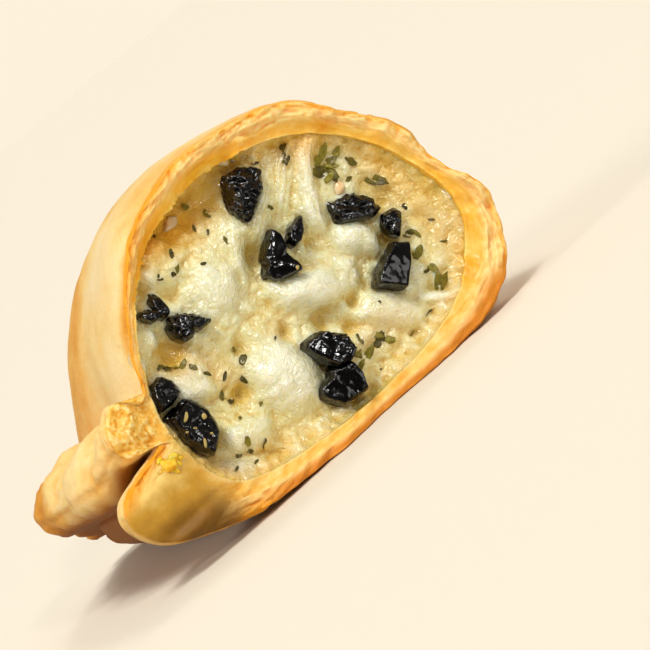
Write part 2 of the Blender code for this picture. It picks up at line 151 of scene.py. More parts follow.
# Dome: share of its width from the fold, height, then the cavity's width and height
DOME = [
    (0.500, 0.0, 31.0, 2.6), (0.330, 0.0, 20.5, 3.7), (0.210, 0.7, 13.5, 6.0), (0.100, 3.2, 8.6, 9.3),
    (0.028, 8.6, 5.6, 13.2), (0.000, 14.6, 4.6, 17.6), (0.045, 22.0, 5.6, 23.4), (0.080, 31.2, 8.4, 29.8),
    (0.168, 38.1, 12.8, 35.4), (0.262, 44.1, 19.1, 40.0), (0.410, 46.9, 27.0, 42.6),
    (0.560, 47.8, 35.0, 43.4), (0.700, 45.5, 43.0, 41.8), (0.800, 41.9, 49.0, 38.5),
    (0.885, 36.6, 54.2, 34.4), (0.951, 30.6, 57.6, 30.0), (1.000, 24.4, 59.0, 26.4),
]
# Sealed edge and lip: reach and height at the torn face, the same behind it, then the cavity
EDGE = [
    (-4.0, 26.7, -7.8, 23.7, 60.2, 24.4), (-0.7, 24.6, -1.8, 22.1, 61.0, 22.4),
    (0.2, 21.8, 1.4, 18.4, 61.3, 20.4), (-1.0, 19.4, -0.7, 14.4, 61.5, 18.4),
    (-5.4, 18.2, -6.8, 12.6, 61.5, 16.4), (-0.4, 16.9, -7.0, 10.8, 61.3, 14.4),
    (4.4, 15.2, -7.6, 8.6, 61.0, 12.0), (5.5, 11.6, -9.2, 5.8, 60.4, 9.6),
    (2.4, 6.6, -12.0, 3.6, 59.0, 7.4), (-4.5, 3.3, -15.4, 1.2, 56.0, 5.5),
    (-13.0, 1.0, -20.0, 0.0, 50.2, 3.9), (-26.5, 0.0, -27.5, 0.0, 40.5, 2.8),
]
CORNERS = len(DOME) + len(EDGE)
print("section corners:", CORNERS)

# %% Fold, sealed edge and one section
def seal_point(t):
    angle = math.radians(SEAL_START + (SEAL_END - SEAL_START) * t)
    return np.array([
        SEAL_CENTRE[0] - SEAL_RADIUS * math.cos(angle),
        SEAL_CENTRE[1] + SEAL_RADIUS * math.sin(angle),
    ])


def fold_point(t):
    start = np.array([FOLD_X, 0.0])
    return (1 - t) ** 2 * start + 2 * t * (1 - t) * np.array(FOLD_BULGE) + t * t * seal_point(1.0)


def seal_length(t):
    """Distance along the sealed edge from the torn face."""
    return SEAL_RADIUS * math.radians(SEAL_END - SEAL_START) * t


def span(t):
    """Fold point, direction to the sealed edge and width of the section at t."""
    fold = fold_point(t)
    across = seal_point(t) - fold
    width = float(np.linalg.norm(across))
    return fold, across / width, width


def lump(t):
    """Pressed lumps along the sealed edge: 0 in the dents, 1 on the crowns."""
    return 0.22 + 0.70 * math.sin(math.pi * (seal_length(t) / LUMP_PITCH + 0.35)) ** 2


def outer_corners(t):
    """The section's outer corners at t, as distance from the fold and height."""
    width = span(t)[2]
    height = (width / TORN_WIDTH) ** 0.85
    change = smooth(seal_length(t) / SEAL_CHANGE)
    lip_change = smooth(seal_length(t) / LOBE_CHANGE)
    dome_change = smooth(seal_length(t) / DOME_CHANGE)
    shrink = height ** 0.6
    band = SEAL_BAND * shrink
    dome = width - (TORN_WIDTH - DOME_SHARE) * (1 - dome_change) - band * dome_change
    corners = []
    for share, z, _, _ in DOME:
        fall = SHOULDER_FALL * dome_change * max(math.sin(math.pi * (share - 0.7) / 0.3), 0.0)
        corners.append([(share - fall) * dome, z * height])
    corners[-1][1] = FOOT_HEIGHT * shrink * dome_change + corners[-1][1] * (1 - dome_change)
    for row, (cut_reach, cut_z, reach, z, _, _) in enumerate(EDGE):
        part = change if row < 4 else lip_change
        w = cut_reach * (1 - part) + reach * shrink * part + width
        h = cut_z * (1 - part) + z * shrink * part
        if row in (0, 1):
            h += LUMP_RISE * shrink * (lump(t) - 0.5) * (0.4 + 0.6 * change)
        if row in (1, 2, 3):
            w += LUMP_REACH * shrink * (lump(t) - 0.5) * (0.3 + 0.7 * change)
        corners.append([w, h])
    return np.array(corners)


def inner_corners(t):
    """The cavity's corners at t, as distance from the fold and height."""
    outer = outer_corners(t)
    along = np.roll(outer, -1, 0) - np.roll(outer, 1, 0)
    along /= np.linalg.norm(along, axis=1)[:, None]
    deep = outer + np.stack([along[:, 1], -along[:, 0]], 1) * WALL
    first, last = len(DOME) - 1, len(DOME) + 7
    for row in range(first + 1, last):
        part = (row - first) / (last - first)
        deep[row] = deep[first] * (1 - part) + deep[last] * part
    torn = np.array([row[2:] for row in DOME] + [row[4:] for row in EDGE])
    top_change = smooth(seal_length(t) / (0.8 * SEAL_CHANGE))
    low_change = smooth(seal_length(t) / LOBE_CHANGE)
    change = np.array([top_change] * len(DOME) + [low_change] * len(EDGE))[:, None]
    corners = torn * (1 - change) + deep * change
    corners[:, 1] = np.maximum(corners[:, 1], FLOOR_WALL)
    return corners


# %% [markdown]
# ## Reading a section at any point
# A Catmull-Rom curve passes through the corners. It is read at evenly spaced lengths, so that
# the mesh has squares of about the same size all the way round the section.

# %% Curves round the section
AROUND = 620


def curve_at(corners, places):
    """The smooth closed curve through the corners, read at fractional corner numbers."""
    base = np.floor(places).astype(int)
    f = (places - base)[:, None]
    before, start, after, after2 = (corners[(base + k) % len(corners)] for k in (-1, 0, 1, 2))
    return 0.5 * (
        2 * start + (after - before) * f
        + (2 * before - 5 * start + 4 * after - after2) * f * f
        + (3 * start - before - 3 * after + after2) * f ** 3
    )


def even_places(corners, count):
    """Corner numbers that lie at equal lengths along the curve."""
    fine = np.linspace(0, len(corners), 60 * len(corners) + 1)
    line = curve_at(corners, fine % len(corners))
    length = np.concatenate([[0], np.cumsum(np.linalg.norm(np.diff(line, axis=0), axis=1))])
    return np.interp(np.arange(count) / count * length[-1], length, fine)


def in_space(t, curve):
    """Points of the section at t, in the part's frame."""
    fold, direction, _ = span(t)
    flat = fold + direction * curve[:, :1]
    return np.column_stack([flat[:, 0], flat[:, 1] + TORN_Y, curve[:, 1]])


def outer_ring(t, places):
    curve = curve_at(outer_corners(t), places)
    curve[:, 1] = np.maximum(curve[:, 1], 0.0)
    return in_space(t, curve)


def inner_ring(t, places, shrink=0.0):
    curve = curve_at(inner_corners(t), places)
    along = np.roll(curve, -1, 0) - np.roll(curve, 1, 0)
    along /= np.linalg.norm(along, axis=1)[:, None] + 1e-9
    return in_space(t, curve + np.stack([along[:, 1], -along[:, 0]], 1) * shrink)


PLACES = even_places(outer_corners(0.0), AROUND)
girth = np.linalg.norm(np.diff(outer_ring(0.0, PLACES), axis=0), axis=1).sum()
print("girth at the torn face: %.0f mm, one step %.2f mm" % (girth, girth / AROUND))

# %% [markdown]
# ## The dough case
# Real pastry tears unevenly. The baked skin gives way first, the soft dough behind it pulls out
# in flakes and crumbs. The case is one grid of rows. They run from the tip along the outside to
# the torn edge, across it, and back in along the wall of the hollow.

# %% How far the torn edge stands forward
def ragged(points):
    """Coarse unevenness of the torn edge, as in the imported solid."""
    x, z = points[:, 0], points[:, 2]
    flap = 1.6 * hill(x, z, -8, 42, 12, 7)
    crumb = 1.4 * hill(x, z, -29, 22.5, 5, 4)
    lobe = 1.0 * hill(x, z, -31, 9, 9, 6)
    flat = np.column_stack([x, np.zeros(len(x)), z])
    uneven = wobbles(flat, 7.0, 1.7) + 0.6 * wobbles(flat, 2.6, 4.1)
    return RIM_RAGGED * uneven + crumb + lobe - flap


def zones(points):
    """Soft masks of the torn face's regions."""
    x, z = points[..., 0], points[..., 2]
    lobe = smooth((17.4 - z + 0.25 * (x + 27)) / 2.6) * smooth((-20 - x) / 7) * smooth((z + 2) / 3)
    crumb = smooth((-22.5 - x) / 2.2) * smooth((z - 17.6 - 0.25 * (x + 27)) / 1.6) * smooth((29.5 - z) / 3)
    flap = smooth((x + 19) / 6) * smooth((16 - x) / 9) * smooth((z - 33) / 5)
    fold = smooth((x - 12) / 12) * smooth((z - 3) / 6)
    floor = smooth((7 - z) / 4) * smooth((x + 22) / 8)
    return lobe, crumb, flap, fold, floor


# %% Rows of the case
OUTER_ROWS = 78
NOSE_ROWS = 9
RIM_ROWS = 34
INNER_ROWS = 26

rows = []
torn_ring = outer_ring(0.0, PLACES)
edge_shift = ragged(torn_ring)
fine_shift = 0.42 * wobbles(torn_ring, 1.5, 2.2) + 0.22 * wobbles(torn_ring, 0.6, 7.2)
lobe_mask, _, _, _, floor_mask = zones(torn_ring)
fine_shift *= 1.0 - 0.85 * lobe_mask - 0.4 * floor_mask
for index in range(OUTER_ROWS + 1):
    share = index / OUTER_ROWS
    t = LAST_T * (0.10 * share + 0.90 * share * share)
    ring = outer_ring(t, PLACES)
    depth = seal_length(t)
    ring[:, 1] -= edge_shift * max(1 - depth / 9.0, 0.0) ** 2
    ring[:, 1] -= fine_shift * max(1 - depth / 1.6, 0.0) ** 2
    rows.append(ring)
rows = rows[::-1]

last_ring = outer_ring(LAST_T, PLACES)
middle = last_ring.mean(0)
middle[2] = last_ring[:, 2].max() * 0.42
ahead = seal_point(1.0) - seal_point(0.97) + fold_point(1.0) - fold_point(0.97)
ahead /= np.linalg.norm(ahead)
for step in range(1, NOSE_ROWS + 1):
    angle = math.pi / 2 * step / (NOSE_ROWS + 0.4)
    ring = middle + (last_ring - middle) * math.cos(angle)
    ring[:, :2] += ahead * TIP_NOSE * math.sin(angle)
    rows.insert(0, ring)
outer_count = len(rows)
print("outer rows:", outer_count)

# %% Torn dough
LAYER_THICK = 1.1
LAYER_LONG = 2.8
CRUMB_SIZE = 1.15
FINE_CRUMB_SIZE = 0.62


def fibres(points, deep, long, wide, seed):
    """Torn fibres: crests drawn out along the edge and narrow across it."""
    drawn = np.column_stack([points[:, 0] / long, deep / wide, points[:, 2] / long])
    return 1.0 - 2.2 * np.abs(wobbles(drawn, 1.0, seed))


def inner_drop(masks):
    """How far the edge of the hollow lies behind the torn face, where soaked dough sags inward."""
    _, _, flap, fold, _ = masks
    return 1.3 * flap + 0.6 * fold * (1 - flap)


def torn_relief(points, share, across, masks):
    """How far the torn dough stands forward between the skin (share 0) and the hollow (share 1)."""
    lobe, crumb, _, _, floor = masks
    thick = np.clip(across / 3.0, 0.35, 1.6)
    deep = share * across + 0.4 * wobbles(points, 4.0, 5.5)
    rise = smooth(share / 0.08)
    fall = smooth((share - 0.30) / 0.70)
    swell = np.sin(math.pi * share ** 0.8) ** 0.7
    crown = 0.60 * thick * rise * (1 - fall) * (1 - 0.55 * crumb)
    crown += (1.1 * thick * swell - crown) * lobe
    # Fibres and broken layers are near the skin, the soaked dough by the hollow is smooth
    flaky = rise * smooth((0.84 - share) / 0.35) * (1 - 0.93 * lobe) * (1 - 0.6 * crumb) * (1 - 0.7 * floor)
    layer = deep / LAYER_THICK
    whole = np.floor(layer)
    blend = smooth((layer - whole - 0.62) / 0.38)
    this_layer, next_layer = (
        np.column_stack([points[:, 0] / LAYER_LONG, number * 3.7, points[:, 2] / LAYER_LONG])
        for number in (whole, whole + 1)
    )
    steps = wobbles(this_layer, 1.0, 3.0) * (1 - blend) + wobbles(next_layer, 1.0, 3.0) * blend
    strands = 0.20 * fibres(points, deep, 2.4, 0.8, 3.0) + 0.14 * fibres(points, deep, 1.1, 0.45, 7.0)
    strands = strands + 0.22 * wobbles(points, 0.9, 4.7)
    relief = crown - inner_drop(masks) * fall
    relief += flaky * np.minimum(thick, 1.0) * (0.85 * steps + strands)
    # Crumbs
    loose = points + 0.5 * wobbles(points, 0.9, 4.4)[:, None]
    grain = 0.5 - cell_edges(loose, CRUMB_SIZE, 2.0)
    fine = 0.5 - cell_edges(points, FINE_CRUMB_SIZE, 6.0)
    open_crumb = crumb * np.sin(math.pi * share) ** 0.4
    relief += open_crumb * (0.60 * grain + 0.45 * fine + 0.9 * wobbles(points, 2.2, 8.8))
    relief += 0.16 * flaky * (1 - crumb) * (grain + fine)
    return relief + 0.05 * wobbles(points, 1.0, 1.1) * (1 - lobe)


# %% The torn edge
inner_plain = inner_ring(0.0, PLACES)
inner_masks = zones(inner_plain)
inner_plain[:, 1] -= ragged(inner_plain) * 0.8
outer_plain = rows[-1].copy()
outer_plain[:, 1] += fine_shift
teeth = 0.30 * wobbles(inner_plain, 1.3, 9.1) + 0.30 * wobbles(inner_plain, 0.55, 3.1)
teeth *= (0.35 + 1.1 * inner_masks[2]) * (1 - 0.9 * inner_masks[0])
inner_edge = inner_ring(0.0, PLACES, teeth[:, None])
inner_edge[:, 1] = inner_plain[:, 1] + inner_drop(inner_masks) - teeth
across = np.linalg.norm((inner_plain - outer_plain)[:, [0, 2]], axis=1)
for step in range(1, RIM_ROWS):
    share = step / RIM_ROWS
    ring = outer_plain * (1 - share) + inner_plain * share
    ring[:, 1] -= torn_relief(ring, share, across, zones(ring)) + fine_shift * smooth(1 - share / 0.10)
    toothed = smooth((share - 0.82) / 0.18)
    ring[:, [0, 2]] += (inner_edge - inner_plain)[:, [0, 2]] * toothed
    ring[:, 1] -= teeth * toothed
    rows.append(ring)
rows.append(inner_edge)
rim_end = len(rows)

# %% The wall of the hollow
inner_shift = inner_edge[:, 1] - inner_ring(0.0, PLACES)[:, 1]
for index in range(1, INNER_ROWS + 1):
    share = index / INNER_ROWS
    t = CAVITY_END * (0.12 * share + 0.88 * share ** 2.2)
    ring = inner_ring(t, PLACES)
    ring[:, 1] += inner_shift * max(1 - seal_length(t) / 7.0, 0.0) ** 2
    rows.append(ring)
case = np.array(rows)
print("case grid:", case.shape)

# %% [markdown]
# ## Fine relief on the case
# A second pass pushes each point along its normal: slow dents all over, a grainy pressed band
# with the line where the two edges of dough meet, and shallow cracks beside the torn edge.

# %% Normals and relief
def grid_normals(points):
    along = np.roll(points, -1, 1) - np.roll(points, 1, 1)
    down = np.gradient(points, axis=0)
    normals = np.cross(along, down)
    return normals / (np.linalg.norm(normals, axis=2)[..., None] + 1e-12)


normals = grid_normals(case)
row_number = np.arange(len(case))[:, None] * np.ones(AROUND)
corner_number = np.ones(len(case))[:, None] * PLACES
outside = row_number < outer_count
behind = case[..., 1] - TORN_Y
seal_first, seal_last = len(DOME) - 0.6, len(DOME) + 3.6
band = smooth((corner_number - seal_first) / 0.6) * smooth((seal_last - corner_number) / 0.6)
seam = np.exp(-((corner_number - len(DOME) - 2.1 - 0.25 * wobbles(case, 6.0, 3.9)) / 0.16) ** 2)
crack_edge = np.exp(-np.clip(behind, 0, None) / 2.2)
relief = 0.34 * wobbles(case, 11.0, 0.4) + 0.10 * wobbles(case, 3.4, 0.9)
broken = 0.35 + 0.65 * smooth((wobbles(case, 5.0, 7.1) + 0.25) / 0.5)
relief += band * (0.42 * wobbles(case, 2.4, 1.3) + 0.20 * wobbles(case, 1.0, 5.3) - 0.50 * seam * broken)
relief -= 0.35 * crack_edge * smooth((wobbles(case, 2.4, 6.6) - 0.12) / 0.3)
on_base = case[..., 2] < 0.02
relief = np.where(outside, relief, 0.10 * wobbles(case, 2.4, 0.9) * (row_number > rim_end))
relief = np.where(on_base, 0.0, relief)
case += normals * relief[..., None]
case[..., 2] = np.maximum(case[..., 2], 0.0)

# %% [markdown]
# ## What the dough looks like where
# Marks tell the material where the skin is browned, where the dough is torn, and where fat has
# soaked it amber. Two more carry painted shade and light: the groove under the sealed edge, and the
# crests, lighter than the hollows between them. They are worked out from each point's place, so
# they stay true from all sides.

# %% Crests and hollows
def row_crests(points, normals, reach, rounds):
    """How far each point of the grid stands above its surroundings, in millimetres."""
    soft = points.copy()
    for _ in range(rounds):
        above = np.vstack([soft[:1], soft[:-1]])
        below = np.vstack([soft[1:], soft[-1:]])
        soft = (np.roll(soft, reach, 1) + np.roll(soft, -reach, 1) + above + below) / 4
    return ((points - soft) * normals).sum(2)


# %% Marks on the case
lobe_mask, crumb_mask, flap_mask, fold_mask, floor_mask = zones(case)
rim_share = np.clip((row_number - outer_count + 1) / (rim_end - outer_count), 0, 1)
in_hollow = row_number >= rim_end
torn = np.where(outside, 0.0, 1.0)
case_x, case_z = case[..., 0], case[..., 2]
top = smooth((case_z - 20) / 24)
turning = smooth((behind - 13) / 28)
fold_side = smooth((case_x - 26) / 10)
near_floor = smooth((7 - case_z) / 6)
upper_left = smooth((10 - case_x) / 14) * smooth((case_z - 26) / 8)
browned = 0.18 + 0.40 * turning + 0.18 * wobbles(case, 16.0, 2.6) + 0.14 * wobbles(case, 5.0, 2.9)
browned += 0.24 * fold_side + 0.45 * near_floor
browned += 0.10 * smooth((3 - behind) / 3) + 0.15 * band + 0.14 * top * smooth((case_x + 16) / 14)
browned += 0.18 * band * smooth((wobbles(case, 7.0, 6.2) - 0.05) / 0.4)
browned += 0.40 * smooth((2.4 - behind) / 2.4) * upper_left
# Painted shade: the groove between the pressed edge and the lip is marked to be painted dark brown.
groove_first, groove_last = len(DOME) + 2.3, len(DOME) + 10.4
crevice = smooth((corner_number - groove_first) / 0.8) * smooth((groove_last - corner_number) / 1.2)
# How far each point stands out; the finish paints crests lighter and hollows darker, as painted light and
# shade.
crests = row_crests(case, grid_normals(case), reach=1, rounds=6)
case_marks = {
    "browned": np.clip(browned, 0, 1),
    "torn": torn,
    "hollow": np.where(in_hollow, 1.0, 0.0),
    "across": rim_share,
    "deep": rim_share * np.concatenate([across[None]] * len(case)),
    "lobe": lobe_mask * (0.35 + 0.65 * torn) * smooth((9 - behind) / 6),
    "crumb": crumb_mask * torn,
    "flap": flap_mask * torn,
    "fold": fold_mask * torn,
    "floor": floor_mask * torn,
    "seam": seam * outside * band,
    # Painted shade in the groove under the pressed edge
    "crevice": crevice * outside * smooth((behind - 0.4) / 2.0),
    # Painted light and shade: crests lighter, hollows darker
    "crest": np.clip(0.5 + crests * 2.2, 0, 1),
}

# %% Faces of the case
count = len(case)
start = (np.arange(count - 1)[:, None] * AROUND + np.arange(AROUND)).ravel()
beside = (np.arange(count - 1)[:, None] * AROUND + (np.arange(AROUND) + 1) % AROUND).ravel()
quads = np.column_stack([start, beside, beside + AROUND, start + AROUND])
tip_point, deep_point = case[0].mean(0), case[-1].mean(0)
points = np.vstack([case.reshape(-1, 3), tip_point, deep_point])
around = np.arange(AROUND)
after = (around + 1) % AROUND
tip = np.column_stack([after, around, np.full(AROUND, len(points) - 2)])
deep_row = (count - 1) * AROUND
deep = np.column_stack([deep_row + around, deep_row + after, np.full(AROUND, len(points) - 1)])
faces = quads.tolist() + tip.tolist() + deep.tolist()
flat_marks = {
    mark: np.concatenate([values.ravel(), [values[0].mean(), values[-1].mean()]])
    for mark, values in case_marks.items()
}
dough = mesh_piece("baked_case", points, faces, flat_marks)
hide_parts("crust")

# %% [markdown]
# ## The melted cheese
# Melted cheese is a heap of soft rounded lumps that lean into each other, with sharp creases
# between them and a few pulled strands. One height map gives the whole front: each lump is a
# smooth dome, and a soft minimum of their depths joins them as melted lumps join.

# %% Lumps, bundles and pits
# Lumps: x, height, depth of the front behind the torn face, half length, half width, lean
LUMPS = [
    (-3.8, 30.0, 1.2, 6.2, 4.0, 48), (2.2, 34.4, 2.6, 4.8, 3.0, 20), (-7.6, 39.4, 2.6, 3.6, 2.6, -60),
    (7.2, 20.6, 0.2, 5.6, 3.6, -35), (17.4, 22.4, 0.8, 5.0, 2.9, -42), (13.0, 18.2, 1.8, 3.6, 2.8, 50),
    (15.4, 10.2, 1.0, 7.6, 2.9, -40), (-4.0, 13.4, 0.2, 6.4, 5.0, -80), (-16.4, 21.2, 1.2, 4.8, 3.0, -50),
    (-13.2, 10.4, 1.2, 4.4, 3.2, -30), (-20.4, 7.8, 0.8, 5.4, 3.2, -30),
    (-16.8, 30.4, 1.6, 2.6, 2.0, -70), (-8.4, 23.8, 3.0, 4.6, 3.0, -75), (28.0, 14.0, 3.2, 7.0, 4.2, -70),
    (14.4, 35.6, 3.4, 6.5, 3.6, 60), (24.0, 31.0, 3.8, 6.0, 4.0, -50), (12.4, 6.6, 3.2, 3.4, 2.2, -30),
    (15.2, 29.0, 2.4, 5.2, 2.6, 70),
]
# Pulled bundles: the line's points as x and height, half width, depth, size and height of the threads
BUNDLES = [
    ([(24.0, 40.0), (21.6, 37.6), (19.6, 36.0), (17.6, 33.6), (16.0, 30.6), (14.8, 27.6),
     (13.2, 23.4)], 1.5, 1.3, 0.50, 0.24),
    ([(18.8, 38.6), (15.7, 36.2), (13.6, 34.0), (10.9, 31.2)], 1.6, 2.6, 0.55, 0.24),
    ([(12.8, 36.2), (8.8, 33.4), (5.0, 30.4)], 1.7, 2.5, 0.55, 0.20),
    ([(6.4, 36.0), (3.4, 33.4), (1.6, 30.4), (0.6, 27.6)], 2.2, 2.2, 0.60, 0.12),
    ([(19.4, 9.2), (23.6, 6.0), (26.8, 5.2)], 0.9, 1.4, 0.50, 0.22),
    ([(25.4, 12.2), (24.2, 9.6), (22.6, 7.0)], 0.8, 1.6, 0.45, 0.18),
]
# Pits: x, height, radius, depth
PITS = [
    (4.4, 29.4, 1.8, 2.6), (13.6, 25.6, 2.0, 2.4), (8.2, 23.9, 1.6, 1.6), (-14.6, 26.6, 1.8, 2.2),
    (-9.4, 33.6, 1.6, 1.6), (22.2, 18.6, 1.4, 2.0), (6.0, 15.6, 1.8, 1.8), (-10.6, 15.6, 1.4, 2.2),
    (9.2, 12.4, 1.6, 1.8), (-6.4, 20.4, 1.4, 1.4), (0.4, 18.2, 1.4, 1.6), (-17.6, 12.6, 1.2, 1.4),
    (11.6, 14.6, 1.2, 1.8), (-12.4, 36.4, 1.8, 1.8), (25.6, 23.4, 1.8, 1.2),
]
print("lumps, bundles and pits:", len(LUMPS), len(BUNDLES), len(PITS))

# %% Distance from a bent line
def line_place(x, z, line):
    """Distance of each point from a bent line, the side it lies on, and how far along it is."""
    best = np.full(x.shape, 1e9)
    side = np.zeros(x.shape)
    along = np.zeros(x.shape)
    passed = 0.0
    for (ax, az), (bx, bz) in zip(line, line[1:]):
        dx, dz = bx - ax, bz - az
        length = math.hypot(dx, dz)
        part = np.clip(((x - ax) * dx + (z - az) * dz) / length ** 2, 0, 1)
        far = np.hypot(x - ax - part * dx, z - az - part * dz)
        nearer = far < best
        side = np.where(nearer, ((x - ax) * dz - (z - az) * dx) / length, side)
        along = np.where(nearer, passed + part * length, along)
        best = np.where(nearer, far, best)
        passed += length
    return best, side, along, passed


# %% Depth of the cheese's front
MELT_BLEND = 0.55


def melt_parts(x, z):
    """Depth of the cheese's front behind the torn face, at arrays of points: its form and its grain."""
    x, z = np.asarray(x, float), np.asarray(z, float)
    at = np.stack([x, np.zeros_like(x), z], -1)
    bend = 1.1 * wobbles(at, 4.0, 7.7) + 0.30 * wobbles(at, 1.6, 1.7)
    bend_z = 1.1 * wobbles(at, 4.0, 3.7) + 0.30 * wobbles(at, 1.6, 5.7)
    warped = at + np.stack([bend, 0 * bend, bend_z], -1) * 0.6
    base = 3.1 + 4.0 * hill(x, z, 1, 41, 9, 2.6) + 1.0 * wobbles(at, 6.0, 3.3) + 0.5 * wobbles(at, 2.5, 5.9)
    base = base + 0.6 * (cell_edges(warped, 3.3, 4.4) - 0.5)
    total = np.exp(-base / MELT_BLEND)
    for lx, lz, front, long, short, lean in LUMPS:
        c, s = math.cos(math.radians(lean)), math.sin(math.radians(lean))
        u = ((x + bend - lx) * c + (z + bend_z - lz) * s) / long
        v = (-(x + bend - lx) * s + (z + bend_z - lz) * c) / short
        r = np.minimum(u * u + v * v, 3.0)
        dome = np.exp(-(front + 0.4 + 2.5 * r ** 1.4) / MELT_BLEND)
        total = total + np.where(r < 2.8, dome, 0.0)
    pulled = np.zeros_like(x)
    threads = np.zeros_like(x)
    for line, half, front, size, height in BUNDLES:
        near, side, along, length = line_place(x + 0.35 * bend, z + 0.35 * bend_z, line)
        ends = np.clip(1 - np.minimum(along, length - along) / 3.0, 0, 1)
        sunk = 2.2 * ends ** 2
        strand = np.exp(-(front + sunk + 1.3 * (near / half) ** 2) / MELT_BLEND)
        total = total + np.where(near < 2.4 * half, strand, 0.0)
        mask = np.exp(-(near / (1.25 * half)) ** 2) * (1 - 0.75 * ends)
        lie = np.stack([side / size, 0 * side + size * 9, along / 8.0], -1)
        fine = np.stack([side / (0.45 * size), 0 * side + size * 5, along / 5.0], -1)
        ridges = height * (0.9 - 2.6 * np.abs(wobbles(lie, 1.0, 6.4)) + 0.6 * wobbles(fine, 1.0, 2.4))
        threads = np.where(mask > pulled, ridges * mask, threads)
        pulled = np.maximum(pulled, mask)
    depth = -MELT_BLEND * np.log(total)
    for px, pz, radius, low in PITS:
        depth = depth + low * hill(x + 0.5 * bend, z + 0.5 * bend_z, px, pz, radius, radius)
    # Curds in some places, a smooth skin in others
    curdy = smooth((wobbles(at, 7.0, 9.3) + 0.15) / 0.5) * (1 - 0.8 * pulled)
    curds = 0.26 * (cell_edges(warped, 2.0, 8.1) - 0.5) + 0.16 * (cell_edges(warped, 1.0, 3.1) - 0.5)
    grain = (0.12 + 0.88 * curdy) * curds - threads
    return depth, grain + 0.15 * wobbles(at, 1.5, 1.9) + 0.09 * wobbles(at, 0.7, 2.9)


def melt(x, z):
    form, grain = melt_parts(x, z)
    return form + grain


print("depth of the cheese at the middle: %.2f mm" % melt(np.array([5.0]), np.array([22.0]))[0])

# %% [markdown]
# ## The front of the cheese
# The front is a fine triangular grid inside the outline of the hollow. A constrained Delaunay
# triangulation joins the grid to the outline, so that the piece closes without a seam. Behind
# the front, rings that follow the wall of the hollow lead to the filling's end.

# %% Where the cheese meets the case
def inside(points, ring):
    """Which points lie inside the closed ring, both as x and height."""
    found = np.zeros(len(points), bool)
    for start, end in zip(ring, np.roll(ring, -1, 0)):
        crosses = (start[1] > points[:, 1]) != (end[1] > points[:, 1])
        rise = np.where(crosses, (points[:, 1] - start[1]) / (end[1] - start[1] + 1e-12), 0.0)
        found ^= crosses & (points[:, 0] < start[0] + rise * (end[0] - start[0]))
    return found


def edge_depth(points):
    """How deep behind the torn face the cheese meets the case."""
    x, z = points[:, 0], points[:, 2]
    flat = np.column_stack([x, np.ones(len(x)), z])
    top = 3.6 * hill(x, z, 1, 43, 11, 4)
    return 0.5 + 0.9 * inner_drop(zones(points)) - 0.8 * ragged(points) + top + 0.35 * wobbles(flat, 2.4, 6.1)


def spill(points):
    """How far the cheese runs out under the torn edge, so that the two meet in an uneven line."""
    x, z = points[:, 0], points[:, 2]
    dome_side = smooth((-6 - x) / 8) * smooth((z - 24) / 4)
    uneven = 0.45 * wobbles(points, 2.4, 8.3) + 0.30 * wobbles(points, 1.0, 2.3)
    return (0.7 + 0.6 * dome_side + uneven) * (1 - 0.5 * zones(points)[0])


# %% Rings along the wall of the hollow
CHEESE_AROUND = 420
CHEESE_RINGS = 14
WALL_LAP = 0.35

cheese_places = even_places(inner_corners(0.0), CHEESE_AROUND)
face_ring = inner_ring(0.0, cheese_places, -WALL_LAP)
depths = edge_depth(face_ring)
spread = spill(face_ring)
cheese_rows = []
for index in range(CHEESE_RINGS + 1):
    share = index / CHEESE_RINGS
    ring = np.empty_like(face_ring)
    for i, depth in enumerate(depths):
        start = depth / seal_length(1.0)
        t = start + (CAVITY_END - 0.02 - start) * share ** 1.4
        outward = -spread[i] if index == 0 else 0.0
        ring[i] = inner_ring(t, cheese_places[[i - 1, i, (i + 1) % CHEESE_AROUND]], outward)[1]
    cheese_rows.append(ring)
edge_ring = cheese_rows[0]
print("rings:", len(cheese_rows))

# %% Points inside the outline
FRONT_GRID = 0.26
outline = edge_ring[:, [0, 2]]
low, high = outline.min(0), outline.max(0)
grid = np.array([
    (x + FRONT_GRID / 2 * (row % 2), z)
    for row, z in enumerate(np.arange(low[1], high[1], FRONT_GRID * math.sqrt(3) / 2))
    for x in np.arange(low[0], high[0], FRONT_GRID)
])
grid = grid[inside(grid, outline)]
gap = np.empty(len(grid))
near = np.empty(len(grid), int)
for first in range(0, len(grid), 2000):
    part = grid[first:first + 2000]
    far = np.linalg.norm(part[:, None] - outline[None], axis=2)
    near[first:first + 2000] = far.argmin(1)
    gap[first:first + 2000] = far.min(1)
keep = gap > 0.55 * FRONT_GRID
grid, gap, near = grid[keep], gap[keep], near[keep]
print("points on the cheese's front:", len(grid))

# %% Height of the front
EDGE_BLEND = 2.9
GRAIN_START = 0.7
grid_space = np.column_stack([grid[:, 0], np.zeros(len(grid)), grid[:, 1]])
uneven_gap = gap * (1.0 + 0.5 * wobbles(grid_space, 3.2, 5.2))
uneven_gap += 0.5 * wobbles(grid_space, 1.2, 6.2) * smooth(gap)
pull = smooth(uneven_gap / EDGE_BLEND)
form, grain = melt_parts(grid[:, 0], grid[:, 1])
front_y = edge_ring[near, 1] * (1 - pull) + (TORN_Y + form) * pull + grain * smooth(gap / GRAIN_START)
front_depth = front_y - TORN_Y
print("front between %.1f and %.1f mm behind the torn face" % (front_depth.min(), front_depth.max()))

